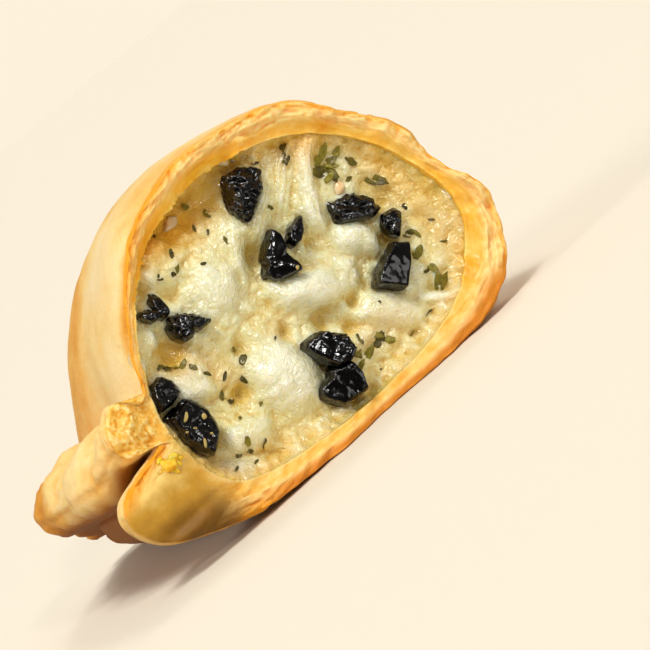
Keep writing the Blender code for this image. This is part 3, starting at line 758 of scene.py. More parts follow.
# %% The cheese as one closed mesh
border = [(i, (i + 1) % CHEESE_AROUND) for i in range(CHEESE_AROUND)]
flat = [Vector(point) for point in np.vstack([outline, grid]).tolist()]
_, _, triangles, _, _, _ = delaunay_2d_cdt(flat, border, [], 1, 1e-7)
front = np.column_stack([grid[:, 0], front_y, grid[:, 1]])
cheese_points = np.vstack([edge_ring, front] + cheese_rows[1:] + [cheese_rows[-1].mean(0)])
offset = CHEESE_AROUND + len(front)
ring_starts = [0] + [offset + CHEESE_AROUND * i for i in range(len(cheese_rows) - 1)]
around = np.arange(CHEESE_AROUND)
after = (around + 1) % CHEESE_AROUND
cheese_faces = [list(face) for face in triangles]
for first, second in zip(ring_starts, ring_starts[1:]):
    cheese_faces += np.column_stack([first + around, second + around, second + after, first + after]).tolist()
last = ring_starts[-1]
hub = len(cheese_points) - 1
cheese_faces += np.column_stack([last + around, np.full(CHEESE_AROUND, hub), last + after]).tolist()

# %% [markdown]
# ## Chopped olives
# A black olive is chopped into chunks with flat, wet cut faces and a wrinkled skin. Each chunk
# here starts as the hull of its outline on the torn face, is remeshed finely, and then wrinkled
# on its skin side only.

# %% Outlines of the olive pieces
# Node, depth of the middle, half thickness, way its skin looks (x, y, height), wrinkles, size of
# its front face, way the front face leans (along x, along height), outlines of its parts
OLIVES = [
    (1, 3.0, 2.9, (-0.3, -0.9, 0.4), 1.0, 0.66, (0.0, 0.0), [
        [(7.9, 41.0), (10.7, 40.7), (12.9, 38.6), (11.3, 36.1), (8.9, 34.6), (6.4, 33.6), (5.6, 34.4),
         (5.6, 37.2), (6.8, 39.6)]]),
    (2, 3.2, 2.2, (0.6, 0.2, 0.8), 0.4, 0.80, (0.25, 0.1), [
        [(13.7, 29.8), (12.0, 29.6), (9.8, 28.9), (8.9, 27.8), (9.2, 26.6), (10.6, 26.6), (12.2, 27.6)]]),
    (3, 3.0, 2.5, (-0.8, 0.1, -0.5), 0.4, 0.84, (-0.2, 0.15), [
        [(8.4, 31.2), (8.9, 29.6), (8.2, 27.4), (6.2, 26.0), (4.6, 26.6), (4.2, 28.2), (6.8, 30.3)],
        [(7.6, 27.4), (7.9, 24.9), (8.0, 23.5), (6.6, 24.0), (3.9, 24.5), (2.8, 26.3), (4.6, 28.0)]]),
    (4, 3.6, 2.5, (0.1, -0.7, 0.7), 0.7, 0.72, (0.0, 0.2), [
        [(17.9, 28.7), (21.9, 27.3), (23.8, 24.8), (23.9, 22.7), (22.0, 22.3), (19.1, 23.6),
         (16.9, 25.0), (17.2, 26.9)]]),
    (5, 3.2, 2.0, (0.0, -0.8, 0.6), 0.4, 0.70, (0.1, 0.1), [
        [(23.4, 21.9), (25.6, 21.6), (26.2, 20.3), (24.9, 18.9), (23.3, 17.6), (22.3, 18.6),
         (22.3, 20.5)]]),
    (6, 2.2, 2.7, (-0.9, 0.5, 0.2), 0.25, 0.88, (0.10, -0.05), [
        [(21.6, 18.0), (23.9, 16.4), (21.4, 13.6), (18.5, 11.2), (14.8, 14.7), (16.5, 16.0),
         (19.1, 17.1)]]),
    (7, 3.0, 2.0, (-0.4, -0.3, 0.8), 0.4, 0.74, (0.1, 0.3), [
        [(-12.0, 35.2), (-11.3, 34.2), (-11.5, 32.1), (-11.8, 31.1), (-13.2, 30.9), (-13.8, 32.4),
         (-13.0, 34.6)],
        [(-13.0, 31.4), (-14.9, 31.6), (-16.2, 33.8), (-15.3, 34.2), (-13.9, 33.6)]]),
    (8, 3.0, 2.5, (0.4, -0.6, 0.7), 0.8, 0.66, (0.0, 0.3), [
        [(-12.5, 30.8), (-10.9, 30.4), (-9.3, 29.0), (-7.6, 26.4), (-10.2, 26.3), (-11.0, 28.0)],
        [(-12.5, 30.8), (-10.6, 29.6), (-10.4, 27.4), (-11.4, 26.3), (-13.0, 26.5), (-13.8, 27.9),
         (-13.6, 29.6)]]),
    (9, 2.0, 2.9, (0.3, 0.2, 0.9), 0.35, 0.80, (-0.15, 0.35), [
        [(0.2, 14.7), (1.1, 15.5), (3.3, 15.2), (4.8, 14.6), (5.2, 12.0), (1.6, 11.0), (0.8, 12.2)],
        [(4.4, 14.6), (6.5, 12.3), (5.9, 9.8), (4.4, 8.9), (1.9, 9.5), (0.8, 12.2)]]),
    (10, 2.2, 2.6, (-0.9, 0.1, -0.4), 0.3, 0.84, (-0.3, 0.0), [
        [(1.3, 10.0), (4.4, 9.2), (4.8, 6.6), (3.8, 4.1), (1.4, 4.3), (0.2, 8.6)],
        [(1.6, 9.2), (1.9, 4.3), (-0.4, 4.4), (-2.3, 7.5), (-1.8, 8.9)]]),
    (11, 2.6, 2.0, (-0.5, -0.6, 0.5), 0.5, 0.74, (0.2, 0.1), [
        [(-21.1, 25.3), (-18.8, 25.4), (-17.8, 23.7), (-17.8, 21.5), (-20.4, 20.9), (-22.9, 21.2),
         (-22.6, 23.1)]]),
    (12, 2.2, 2.8, (-0.4, -0.3, 0.8), 0.4, 0.72, (0.2, 0.2), [
        [(-22.8, 20.4), (-18.2, 20.6), (-17.1, 19.0), (-16.5, 17.1), (-17.0, 15.2), (-20.0, 14.8),
         (-22.8, 15.8)],
        [(-22.7, 16.6), (-16.7, 17.0), (-16.6, 15.5), (-17.4, 13.7), (-19.4, 12.5), (-21.1, 11.6),
         (-22.3, 13.3)]]),
]


# %% A fine mesh from rough hulls
def vectors(mesh, name):
    """One vector for each point of a mesh, such as its place, as rows of an array."""
    values = np.empty(len(mesh.vertices) * 3)
    mesh.vertices.foreach_get(name, values)
    return values.reshape(-1, 3)


def hull_piece(parts, voxel, rounds):
    """The hulls of the parts' corners, joined, remeshed to the voxel size and softened."""
    bm = bmesh.new()
    for corners in parts:
        made = bmesh.ops.convex_hull(bm, input=[bm.verts.new(corner) for corner in corners])
        left_over = made["geom_interior"] + made["geom_unused"]
        loose = {item for item in left_over if isinstance(item, bmesh.types.BMVert)}
        bmesh.ops.delete(bm, geom=list(loose), context="VERTS")
    mesh = bpy.data.meshes.new("rough")
    bm.to_mesh(mesh)
    bm.free()
    rough = add_object("rough", mesh)
    remesh = rough.modifiers.new("fine", "REMESH")
    remesh.mode = "VOXEL"
    remesh.voxel_size = voxel
    soften = rough.modifiers.new("soften", "SMOOTH")
    soften.factor = 0.5
    soften.iterations = rounds
    bpy.context.view_layer.update()
    fine = rough.evaluated_get(bpy.context.evaluated_depsgraph_get()).data
    points, directions = vectors(fine, "co"), vectors(fine, "normal")
    faces = [list(face.vertices) for face in fine.polygons]
    bpy.data.objects.remove(rough)
    bpy.data.meshes.remove(mesh)
    return points, directions, faces


def crests_of(points, directions, faces, rounds):
    """How far each point stands above its surroundings, in millimetres."""
    faces = np.array([face if len(face) == 4 else face + face[-1:] for face in faces])
    ends = np.concatenate([faces[:, [k, (k + 1) % 4]] for k in range(4)])
    ends = np.concatenate([ends, ends[:, ::-1]])
    count = np.bincount(ends[:, 0], minlength=len(points))[:, None]
    soft = points.copy()
    for _ in range(rounds):
        sums = [np.bincount(ends[:, 0], soft[ends[:, 1], k], len(points)) for k in range(3)]
        soft = np.stack(sums, 1) / count
    return ((points - soft) * directions).sum(1)


def wrinkle(points, size, seed):
    """Crossing folds: sharp crests between rounded valleys, 0 to 1."""
    warp = np.stack([wobbles(points, size * 1.7, seed + k) for k in (0.3, 4.6, 8.9)], -1)
    return 1.0 - np.abs(wobbles(points + warp * size * 0.8, size, seed + 1.5)) * 2.2


# %% Cut the olive pieces
OLIVE_VOXEL = 0.2
OLIVE_SOFTENING = 3

olives = []
for node, depth, thick, skin_side, wrinkles, face_size, lean, outlines in OLIVES:
    rng = np.random.default_rng(40 + node)
    centre = np.array(sum(outlines, [])).mean(0)
    # Level of each outline copy, as a share of the half thickness, and its size
    levels = ((-1.0, face_size), (-0.55, 0.96), (0.25, 1.0), (0.95, 0.72))
    parts = []
    for outline_points in outlines:
        ring = np.array(outline_points)
        middle = ring.mean(0)
        corners = []
        for level, spread in levels:
            y = level * thick
            for x, z in middle + (ring - middle) * spread:
                tilt = ((x - centre[0]) * lean[0] + (z - centre[1]) * lean[1]) * (y < 0)
                corners.append((x, TORN_Y + depth + y + tilt + rng.normal(0, 0.16), z))
        parts.append(corners)
    points, directions, faces = hull_piece(parts, OLIVE_VOXEL, OLIVE_SOFTENING)
    looks = np.array(skin_side) / np.linalg.norm(skin_side)
    skin = smooth((directions @ looks + 0.10) / 0.4)
    folds = wrinkle(points, 1.7, node) - 0.5
    small = wrinkle(points, 0.8, node + 3.0) - 0.5
    dents = wobbles(points, 2.4, node + 6.0)
    push = skin * wrinkles * (0.55 * folds + 0.22 * small) + 0.14 * dents + (1 - skin) * 0.02 * small
    points = points + directions * push[:, None]
    # Crests of the folds, which get a painted grey sheen.
    crest = crests_of(points, directions, faces, rounds=8)
    marks = {"skin": skin, "crest": np.clip(crest / 0.12, 0, 1)}
    piece = mesh_piece("olive_piece_%d" % node, points, faces, marks)
    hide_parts("olive_%d" % node)
    olives.append(piece)

# %% Marks on the cheese
def ring_distance(x, z, ring):
    """Distance from an outline, negative inside it."""
    line = [tuple(point) for point in ring] + [tuple(ring[0])]
    far = line_place(x, z, line)[0]
    return np.where(inside(np.column_stack([x, z]), np.array(ring)), -far, far)


whole_x, whole_z = cheese_points[:, 0], cheese_points[:, 2]
near_olive = np.full(len(cheese_points), 9.0)
for row in OLIVES:
    for ring in row[-1]:
        near_olive = np.minimum(near_olive, ring_distance(whole_x, whole_z, ring))
lowness = cheese_points[:, 1] - TORN_Y
wall_gap = np.zeros(len(cheese_points))
wall_gap[CHEESE_AROUND:offset] = gap
# Where fat has soaked the cheese amber, and where it is whitest: x, height, radii, amount
SOAKED = [
    (-2.5, 40.0, 6.0, 3.4, 1.0), (9.0, 43.6, 7.0, 2.2, 0.9), (-22.5, 15.0, 3.5, 6.0, 0.6),
    (-15.6, 25.0, 3.4, 2.6, 0.7), (-7.4, 40.6, 5.0, 2.4, 0.8), (-11.0, 19.5, 2.6, 4.0, 0.45),
    (12.0, 9.0, 5.0, 3.0, 0.45), (28.0, 27.0, 3.6, 7.0, 0.6), (21.6, 37.4, 6.0, 3.0, 0.7),
    (-23.4, 8.6, 5.0, 3.0, 0.6), (-13.6, 5.4, 7.0, 2.0, 0.45), (29.6, 14.0, 2.6, 8.0, 0.5),
    (0.0, 19.6, 2.4, 2.0, 0.3),
]
WHITE = [
    (-2.4, 27.4, 3.6, 3.2, 1.0), (7.6, 20.0, 5.0, 3.0, 0.9), (16.8, 22.0, 4.0, 3.0, 0.7),
    (-3.0, 15.4, 3.6, 4.0, 0.9), (15.6, 9.6, 6.0, 2.4, 0.7), (-16.0, 20.6, 4.0, 2.4, 0.7),
    (-19.0, 7.4, 4.0, 2.4, 0.7), (-9.6, 30.4, 2.4, 2.0, 0.8),
]
soaked, white = (
    np.clip(sum(amount * hill(whole_x, whole_z, x, z, rx, rz) for x, z, rx, rz, amount in table), 0, 1)
    for table in (SOAKED, WHITE)
)
front_normal = np.zeros_like(cheese_points)
front_normal[:, 1] = -1.0
cheese_crest = np.zeros(len(cheese_points))
first_faces = [face for face in cheese_faces if max(face) < offset]
cheese_crest[:offset] = crests_of(
    cheese_points[:offset], front_normal[:offset], first_faces, rounds=10,
)
# low and crest carry painted shade and light: the cheese is painted darker deeper in and in creases, whiter
# on its crests.
cheese_marks = {
    "low": np.clip((lowness - 0.5) / 6.0, 0, 1),
    "by_olive": smooth((1.5 - near_olive) / 2.0),
    "by_wall": smooth((4.2 - wall_gap) / 4.2),
    "soaked": soaked,
    "white": white,
    "crest": np.clip(0.5 + 1.3 * cheese_crest, 0, 1),
}
cheese = mesh_piece("melted_cheese_core", cheese_points, cheese_faces, cheese_marks)
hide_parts("filling")

# %% [markdown]
# ## Herbs
# The dried herbs are crushed leaves: thin curled scraps, longer than wide, lying on the cheese or
# half sunk into it. Each is a small bent blade with a thickness, and all of them are one piece.

# %% Where the scraps lie
# x, height, length
HERBS = [
    (2, 41, 1.5), (18, 39, 1.4), (17, 37, 1.1), (22.6, 34.4, 2.6), (24.0, 33.2, 2.2), (22.2, 32.2, 1.8),
    (20, 32, 1.0), (25, 31, 1.6), (23, 29, 0.9), (26.4, 26.6, 2.0), (25.4, 17, 1.5), (26.2, 16.2, 1.2),
    (23.6, 13.8, 1.2), (24.2, 8.4, 2.3), (23.4, 11.2, 1.0), (24.4, 10.9, 1.6), (0, 38, 0.9), (2, 34, 0.8),
    (-5, 41, 1.0), (-5.4, 37, 1.5), (-6.4, 35.4, 1.2), (-7.4, 35.0, 0.9), (-9.4, 36.2, 1.2), (11, 9, 1.3),
    (8.6, 10.2, 1.4), (6, 7, 1.8), (7.0, 9.0, 1.3), (-15, 10, 1.2), (-15.6, 8.6, 1.6), (-13, 8, 1.0),
    (-17, 9, 0.9), (-16, 6.6, 1.1), (-19, 8, 1.0), (-14, 6, 0.9), (-11, 5, 1.4), (-25, 9, 0.8),
    (-23, 14, 0.9), (-13, 17.2, 1.5), (-12.4, 15.6, 1.2), (-13.2, 13, 1.0), (-14, 23, 1.0),
    (-13, 21, 1.3), (-18, 26.2, 1.5), (-15.4, 24.4, 1.2), (-17, 25.8, 1.2), (-7, 21, 1.1),
    (-7.4, 19, 1.4), (-9, 17, 1.2), (-11, 19, 1.1), (-23, 12.4, 0.8), (3.2, 38.4, 1.4), (9.4, 43.0, 1.2),
    (11.6, 42.8, 0.9), (-3.0, 33.4, 0.6), (1.0, 36.4, 0.6), (13.4, 39.6, 0.7), (27.4, 20.4, 0.9),
    (28.6, 12.8, 0.8), (14.2, 12.6, 0.6), (-1.6, 18.4, 0.6), (-9.6, 12.6, 0.7), (10.4, 33.4, 0.6),
    (29.4, 16.4, 0.7), (19.4, 6.4, 1.0), (15.6, 5.6, 0.9), (8.6, 4.6, 0.8), (21.2, 33.6, 3.2),
    (20.2, 32.6, 2.6), (21.4, 31.4, 2.8), (19.6, 33.4, 1.8), (22.4, 32.6, 2.0), (20.4, 31.0, 1.6),
    (17.7, 38.6, 2.2), (17.0, 37.6, 1.6), (26.6, 25.8, 2.2), (7.0, 9.6, 2.8), (8.0, 7.6, 2.6),
    (6.4, 10.6, 1.8), (11.2, 8.2, 2.2), (12.2, 7.2, 1.6), (24.4, 14.0, 1.8), (23.6, 8.8, 2.8),
    (-17.2, 25.2, 1.6), (-14.4, 24.2, 1.3),
]


# %% Surface under a scrap
def rest_on_cheese(x, z, lift=0.0):
    """Where a small piece lies on the cheese, and the way the surface faces there."""
    step = 0.35
    xs = np.array([x, x - step, x + step, x, x])
    zs = np.array([z, z, z, z - step, z + step])
    depth = melt(xs, zs)
    slope_x, slope_z = (depth[2] - depth[1]) / (2 * step), (depth[4] - depth[3]) / (2 * step)
    facing = Vector((slope_x, -1.0, slope_z)).normalized()
    return Vector((x, TORN_Y + depth[0], z)) + facing * lift, facing


# %% One bent blade
BLADE_RINGS, BLADE_AROUND = 3, 11
PER_SIDE = 1 + BLADE_RINGS * BLADE_AROUND
HALF_THICK = 0.05
THIN_RIM = 0.35


def blade_points(size, slim, curl, rim, tone):
    """The blade's upper and then its lower side, each a middle point and rings round it."""
    blade = []
    for side in (1, -1):
        blade.append((0.0, 0.0, HALF_THICK * side))
        for ring in range(1, BLADE_RINGS + 1):
            for k in range(BLADE_AROUND):
                angle = math.tau * k / BLADE_AROUND
                reach = size * 0.5 * ring / BLADE_RINGS * (rim[k] if ring == BLADE_RINGS else 1.0)
                u, v = reach * math.cos(angle), reach * math.sin(angle) * slim
                crumple = (0.20 + 0.11 * size) * wobble(u, v, tone * 9, 0.35 + 0.2 * size, 1.0)
                thin = HALF_THICK * side * (THIN_RIM if ring == BLADE_RINGS else 1.0)
                blade.append((u, v, curl * v * v / size + 0.2 * curl * u * u / size + crumple + thin))
    return blade


def blade_faces(base):
    """Faces of a blade whose points start at this number."""
    faces = []
    for side in (0, 1):
        first = base + side * PER_SIDE
        for k in range(BLADE_AROUND):
            n = (k + 1) % BLADE_AROUND
            fan = [first, first + 1 + k, first + 1 + n]
            faces.append(fan if side == 0 else fan[::-1])
            for ring in range(BLADE_RINGS - 1):
                a = first + 1 + ring * BLADE_AROUND
                quad = [a + k, a + BLADE_AROUND + k, a + BLADE_AROUND + n, a + n]
                faces.append(quad if side == 0 else quad[::-1])
    upper = base + 1 + (BLADE_RINGS - 1) * BLADE_AROUND
    lower = upper + PER_SIDE
    for k in range(BLADE_AROUND):
        n = (k + 1) % BLADE_AROUND
        faces.append([upper + k, lower + k, lower + n, upper + n])
    return faces


# %% Make the scraps
herb_points, herb_faces, herb_tone = [], [], []
rng = np.random.default_rng(11)
for x, z, length in HERBS:
    size = 0.40 + 1.25 * length
    place, facing = rest_on_cheese(x, z, rng.uniform(0.06, 0.16))
    lean = Vector(rng.normal(0, 0.28, 3).tolist())
    turn = (facing + lean).normalized().to_track_quat("Z", "X").to_matrix()
    turn = turn @ Matrix.Rotation(rng.uniform(0, math.tau), 3, "Z")
    slim = rng.uniform(0.30, 0.58)
    curl = rng.uniform(-0.6, 0.7)
    rim = rng.uniform(0.72, 1.12, BLADE_AROUND)
    tone = rng.uniform(0, 1)
    herb_faces += blade_faces(len(herb_points))
    for point in blade_points(size, slim, curl, rim, tone):
        herb_points.append(tuple(turn @ Vector(point) + place))
        herb_tone.append(0.5 * tone + 0.12 * size)
herbs = mesh_piece("herb_scraps", herb_points, herb_faces, {"tone": herb_tone})
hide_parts("filling")

# %% [markdown]
# ## Small bits in and on the filling
# A few bits of cooked onion show as clear pinkish chunks, seeds stick to three olive pieces, and a
# blob of melted fat has set on the lip of dough below the sealed edge. All are rounded chunks, so
# one function makes them from the hull of a few points on an ellipsoid.

# %% Rounded chunks
CHUNK_CORNERS = 18


def lumps_piece(name, rows, voxel, seed):
    """Rounded chunks. Each row: middle x, y, height, half sizes along x, y and height, lean."""
    all_points, all_faces = [], []
    for number, (x, y, z, long, deep, short, lean) in enumerate(rows):
        rng = np.random.default_rng(seed + number)
        turn = Matrix.Rotation(-math.radians(lean), 3, "Y")
        corners = []
        for _ in range(CHUNK_CORNERS):
            way = rng.normal(size=3)
            way /= np.linalg.norm(way)
            corners.append(turn @ Vector((way[0] * long, way[1] * deep, way[2] * short)) + Vector((x, y, z)))
        points, directions, faces = hull_piece([corners], voxel, rounds=4)
        points = points + directions * (0.08 * wobbles(points, 0.9, number))[:, None]
        base = sum(len(part) for part in all_points)
        all_points.append(points)
        all_faces += [[index + base for index in face] for face in faces]
    piece = mesh_piece(name, np.vstack(all_points), all_faces)
    return piece


# %% Onion bits
# x, height, how far in front of the cheese, half sizes along x, y and height, lean
ONION = [
    (13.6, 41.4, 0.1, 2.0, 0.9, 1.3, 20), (21.0, 28.8, 0.3, 1.3, 0.8, 1.1, 50),
    (-1.8, 40.4, -0.1, 2.2, 0.7, 1.1, 35), (11.4, 42.6, 0.0, 1.4, 0.8, 1.1, -30),
    (9.6, 43.2, 0.1, 1.0, 0.8, 1.6, 0),
]
onion = lumps_piece("onion_bits", [
    (x, float(TORN_Y + melt(np.array([x]), np.array([z]))[0] - lift), z, *sizes)
    for x, z, lift, *sizes in ONION
], voxel=0.2, seed=70)
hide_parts("filling")


# %% Seeds and slivers on the olives
def facing_point(piece, x, z):
    """The point of a piece nearest the viewer's side at this x and height."""
    place = vectors(piece.data, "co") / MM
    near = np.hypot(place[:, 0] - x, place[:, 2] - z) < 0.6
    return float(place[near, 1].min()) if near.any() else TORN_Y + 1.0


# For each olive piece, the x, height, half length, half width and lean of its seeds
SEEDS = {
    12: [
        (-18.3, 17.0, 0.60, 0.44, 60), (-20.7, 16.6, 0.50, 0.26, -30), (-22.0, 16.9, 0.35, 0.22, -20),
        (-21.2, 14.1, 0.95, 0.28, 60), (-20.6, 18.6, 1.00, 0.40, 40), (-19.4, 14.5, 0.35, 0.28, -50),
    ],
    3: [(6.9, 24.4, 0.5, 0.36, 30)],
    1: [(8.6, 33.9, 0.3, 0.26, 0)],
}
SEED_SUNK = 0.05
SEED_HALF_DEPTH = 0.26
seeds = lumps_piece("olive_seeds", [
    (x, facing_point(olives[number - 1], x, z) + SEED_SUNK, z, long, SEED_HALF_DEPTH, short, lean)
    for number, rows_on_piece in SEEDS.items()
    for x, z, long, short, lean in rows_on_piece
], voxel=0.1, seed=20)
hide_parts("filling")

# %% Set fat on the lip
# Middle x, y and height, half sizes along x, y and height, lean
FAT_CHUNKS = [
    (-27.4, -37.8, 15.2, 1.6, 1.0, 1.3, -40), (-28.6, -37.5, 13.9, 1.3, 0.9, 1.2, 10),
    (-26.2, -37.3, 15.4, 1.3, 0.8, 1.0, -20), (-29.0, -37.4, 15.0, 0.9, 0.7, 0.8, 0),
    (-27.0, -37.5, 14.0, 1.0, 0.8, 0.9, 50), (-28.0, -37.4, 16.3, 0.9, 0.7, 0.7, 20),
    (-26.0, -37.2, 14.3, 0.7, 0.6, 0.6, 0), (-29.6, -37.2, 13.6, 0.6, 0.6, 0.7, 0),
    (-25.2, -37.1, 15.0, 0.7, 0.6, 0.6, 0),
]
set_fat = lumps_piece("set_fat", FAT_CHUNKS, voxel=0.16, seed=50)
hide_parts("crust")

# %% [markdown]
# ## Finishes
# A finish is one shader whose colour, roughness and small relief change over the surface. The
# sums between noises and masks are written as plain sums: a small class wraps a socket, so that
# 1 - mask adds the Math node that does it.

# %% A socket in a sum
class Wire:
    """A socket that can be added to, multiplied and so on."""

    def __init__(self, board, socket):
        self.board = board
        self.socket = socket

    def sum(self, operation, first, second):
        return self.board.node("ShaderNodeMath", {"operation": operation}, {0: first, 1: second})

    def __add__(self, other):
        return self.sum("ADD", self, other)

    def __radd__(self, other):
        return self.sum("ADD", other, self)

    def __sub__(self, other):
        return self.sum("SUBTRACT", self, other)

    def __rsub__(self, other):
        return self.sum("SUBTRACT", other, self)

    def __mul__(self, other):
        return self.sum("MULTIPLY", self, other)

    def __truediv__(self, other):
        return self.sum("DIVIDE", self, other)

    def clamped(self):
        return self.board.node("ShaderNodeClamp", {}, {0: self, 1: 0.0, 2: 1.0})

    def step(self, low, high):
        """0 below low, 1 above high, smooth between them."""
        settings = {"interpolation_type": "SMOOTHSTEP"}
        return self.board.node("ShaderNodeMapRange", settings, {0: self, 1: low, 2: high, 3: 0.0, 4: 1.0})


# %% A set of shader nodes
class Board:
    """A set of shader nodes, each added by one method."""

    def __init__(self, tree):
        self.tree = tree

    def node(self, kind, settings, sockets, out=0):
        """Adds a node: its settings first, then the values or links of its sockets."""
        node = self.tree.nodes.new(kind)
        for key, value in settings.items():
            if key == "stops":
                ramp = node.color_ramp.elements
                while len(ramp) < len(value):
                    ramp.new(0.5)
                for stop, (at, color) in zip(ramp, value):
                    stop.position = at
                    stop.color = (*color, 1.0)
            else:
                setattr(node, key, value)
        for key, value in sockets.items():
            if isinstance(value, Wire):
                self.tree.links.new(value.socket, node.inputs[key])
            elif isinstance(value, tuple) and len(value) == 3 and node.inputs[key].type == "RGBA":
                node.inputs[key].default_value = (*value, 1.0)
            else:
                node.inputs[key].default_value = value
        return Wire(self, node.outputs[out])

    def ramp(self, value, *stops):
        return self.node("ShaderNodeValToRGB", {"stops": stops}, {0: value})

    def mix(self, part, first, second):
        """A colour between two others."""
        return self.node("ShaderNodeMix", {"data_type": "RGBA"}, {0: part, 6: first, 7: second}, 2)


# %% A finish
class Finish(Board):
    """A material with one Principled shader."""

    def __init__(self, name, **constants):
        self.material = bpy.data.materials.new(name)
        self.material.use_nodes = True
        super().__init__(self.material.node_tree)
        self.shader = self.tree.nodes["Principled BSDF"]
        for key, value in constants.items():
            self.shader.inputs[key.replace("_", " ")].default_value = value
        place = self.node("ShaderNodeTexCoord", {}, {}, "Object")
        self.mm = self.node("ShaderNodeVectorMath", {"operation": "SCALE"}, {0: place, "Scale": 1.0 / MM})
        print("finish:", name)

    def mark(self, name):
        """One of the numbers stored on the piece's points."""
        return self.node("ShaderNodeAttribute", {"attribute_name": name}, {}, "Fac")

    def grain(self, size, detail=2.0, rough=0.5, bend=0.0, stretch=(1.0, 1.0, 1.0)):
        """Noise with features of this size in millimetres, 0 to 1."""
        at = self.node("ShaderNodeVectorMath", {"operation": "MULTIPLY"}, {0: self.mm, 1: stretch})
        return self.node("ShaderNodeTexNoise", {}, {
            "Vector": at, "Scale": 1.0 / size, "Detail": detail, "Roughness": rough, "Distortion": bend,
        })

    def drawn(self, size, long):
        """Noise drawn out along the torn edge: this size across it, in millimetres, 0 to 1."""
        place = {0: self.along(0) / long, 1: self.mark("deep") / size, 2: self.along(2) / long}
        at = self.node("ShaderNodeCombineXYZ", {}, place)
        sockets = {"Vector": at, "Scale": 1.0, "Detail": 3.0, "Roughness": 0.6}
        return self.node("ShaderNodeTexNoise", {}, sockets)

    def cells(self, size):
        """Distance from the middle of a grain of this size in millimetres."""
        return self.node("ShaderNodeTexVoronoi", {}, {"Vector": self.mm, "Scale": 1.0 / size})

    def along(self, axis):
        """The point's place along x (0), y (1) or height (2), in millimetres."""
        return self.node("ShaderNodeSeparateXYZ", {}, {0: self.mm}, axis)

    def relief(self, height, distance, strength=1.0):
        """Small bumps of this height in millimetres."""
        sockets = {"Strength": strength, "Distance": distance * MM, "Height": height}
        return self.node("ShaderNodeBump", {}, sockets)

    def feed(self, **wires):
        """Links wires to the shader's sockets, an underscore standing for a space in their names."""
        for key, wire in wires.items():
            self.tree.links.new(wire.socket, self.shader.inputs[key.replace("_", " ")])

    def on(self, *pieces):
        for piece in pieces:
            piece.data.materials.clear()
            piece.data.materials.append(self.material)


# %% [markdown]
# ## Baked dough
# The skin runs from pale tan through gold to orange brown, with faint streaks where the dough was
# rolled. Torn dough is paler and crumbly, amber where fat has soaked in, and the lip below the
# sealed edge is nearly clear. Shade is painted into the hollows and the groove under the sealed
# edge, and light onto the crests.

# %% Skin of the baked dough
baked = Finish(
    "baked_dough_finish", Subsurface_Weight=0.30, Subsurface_Radius=(1.0, 0.6, 0.25), Subsurface_Scale=0.0014,
    IOR=1.42, Specular_IOR_Level=0.32, Coat_Roughness=0.2,
)
torn_mark = baked.mark("torn")
crest_shade_mark = baked.mark("crest")
broad = baked.grain(13.0, 3.0, 0.55)
streaks = baked.grain(1.0, 3.0, 0.6, 0.4, (0.16, 0.05, 0.5))
speckle = baked.grain(0.55, 2.0, 0.6)
crust_grain = baked.grain(1.3, 4.0, 0.62)
bake = baked.mark("browned") + (broad - 0.5) * 0.45 + (streaks - 0.5) * 0.22 + (speckle - 0.5) * 0.14
# Painted light and shade: crests less browned, hollows more browned
bake = bake + (crust_grain - 0.5) * 0.20 - (crest_shade_mark - 0.5) * 0.20
skin = baked.ramp(
    bake,
    (0.0, (0.90, 0.71, 0.38)), (0.28, (0.87, 0.61, 0.24)), (0.5, (0.83, 0.46, 0.11)),
    (0.74, (0.72, 0.30, 0.03)), (1.0, (0.44, 0.155, 0.008)),
)
skin = baked.mix((baked.mark("seam") * 0.5).clamped(), skin, (0.70, 0.33, 0.06))
# Painted shade: dark brown in the groove between the pressed edge and the lip
skin = baked.mix((baked.mark("crevice") * 0.95).clamped(), skin, (0.34, 0.105, 0.003))

# %% Torn dough and the lip
fibre = baked.drawn(0.42, 6.0)
wide_fibre = baked.drawn(1.1, 9.0)
patches = baked.grain(6.0, 3.0, 0.5)
inward = baked.mark("across")
fold_mark = baked.mark("fold")
# Painted light and shade: torn dough paler on its crests, darker orange in its hollows
torn_tone = fibre * 0.22 + wide_fibre * 0.22 + crust_grain * 0.34 + patches * 0.24 + (crest_shade_mark - 0.5) * 0.40
torn_color = baked.ramp(
    torn_tone,
    (0.32, (0.86, 0.32, 0.016)), (0.42, (0.90, 0.43, 0.045)), (0.52, (0.92, 0.54, 0.110)),
    (0.66, (0.95, 0.69, 0.27)),
)
pale_band = inward.step(0.14, 0.32) * (1.0 - inward.step(0.42, 0.75))
torn_color = baked.mix((pale_band * 0.35).clamped(), torn_color, (0.95, 0.76, 0.40))
outer_line = 1.0 - inward.step(0.03, 0.20)
seal_side = 1.0 - baked.along(0).step(-12.0, 8.0)
oiled = outer_line * 0.75 + seal_side * (1.0 - inward.step(0.25, 0.60)) * patches * 1.3
torn_color = baked.mix(oiled.clamped(), torn_color, (0.84, 0.34, 0.012))
soaked = baked.ramp(
    patches * 0.7 + wide_fibre * 0.3 + (speckle - 0.5) * 0.15,
    (0.36, (0.88, 0.37, 0.010)), (0.5, (0.94, 0.50, 0.040)), (0.66, (0.96, 0.68, 0.17)),
)
# Crumbs are painted paler on their crests, as painted light
crumb_tone = baked.ramp(
    baked.grain(1.1, 4.0, 0.7) * 0.7 + crest_shade_mark * 0.35,
    (0.3, (0.74, 0.29, 0.015)), (0.5, (0.88, 0.49, 0.07)), (0.70, (0.95, 0.74, 0.30)),
)
LIP_HEIGHT = 17.0
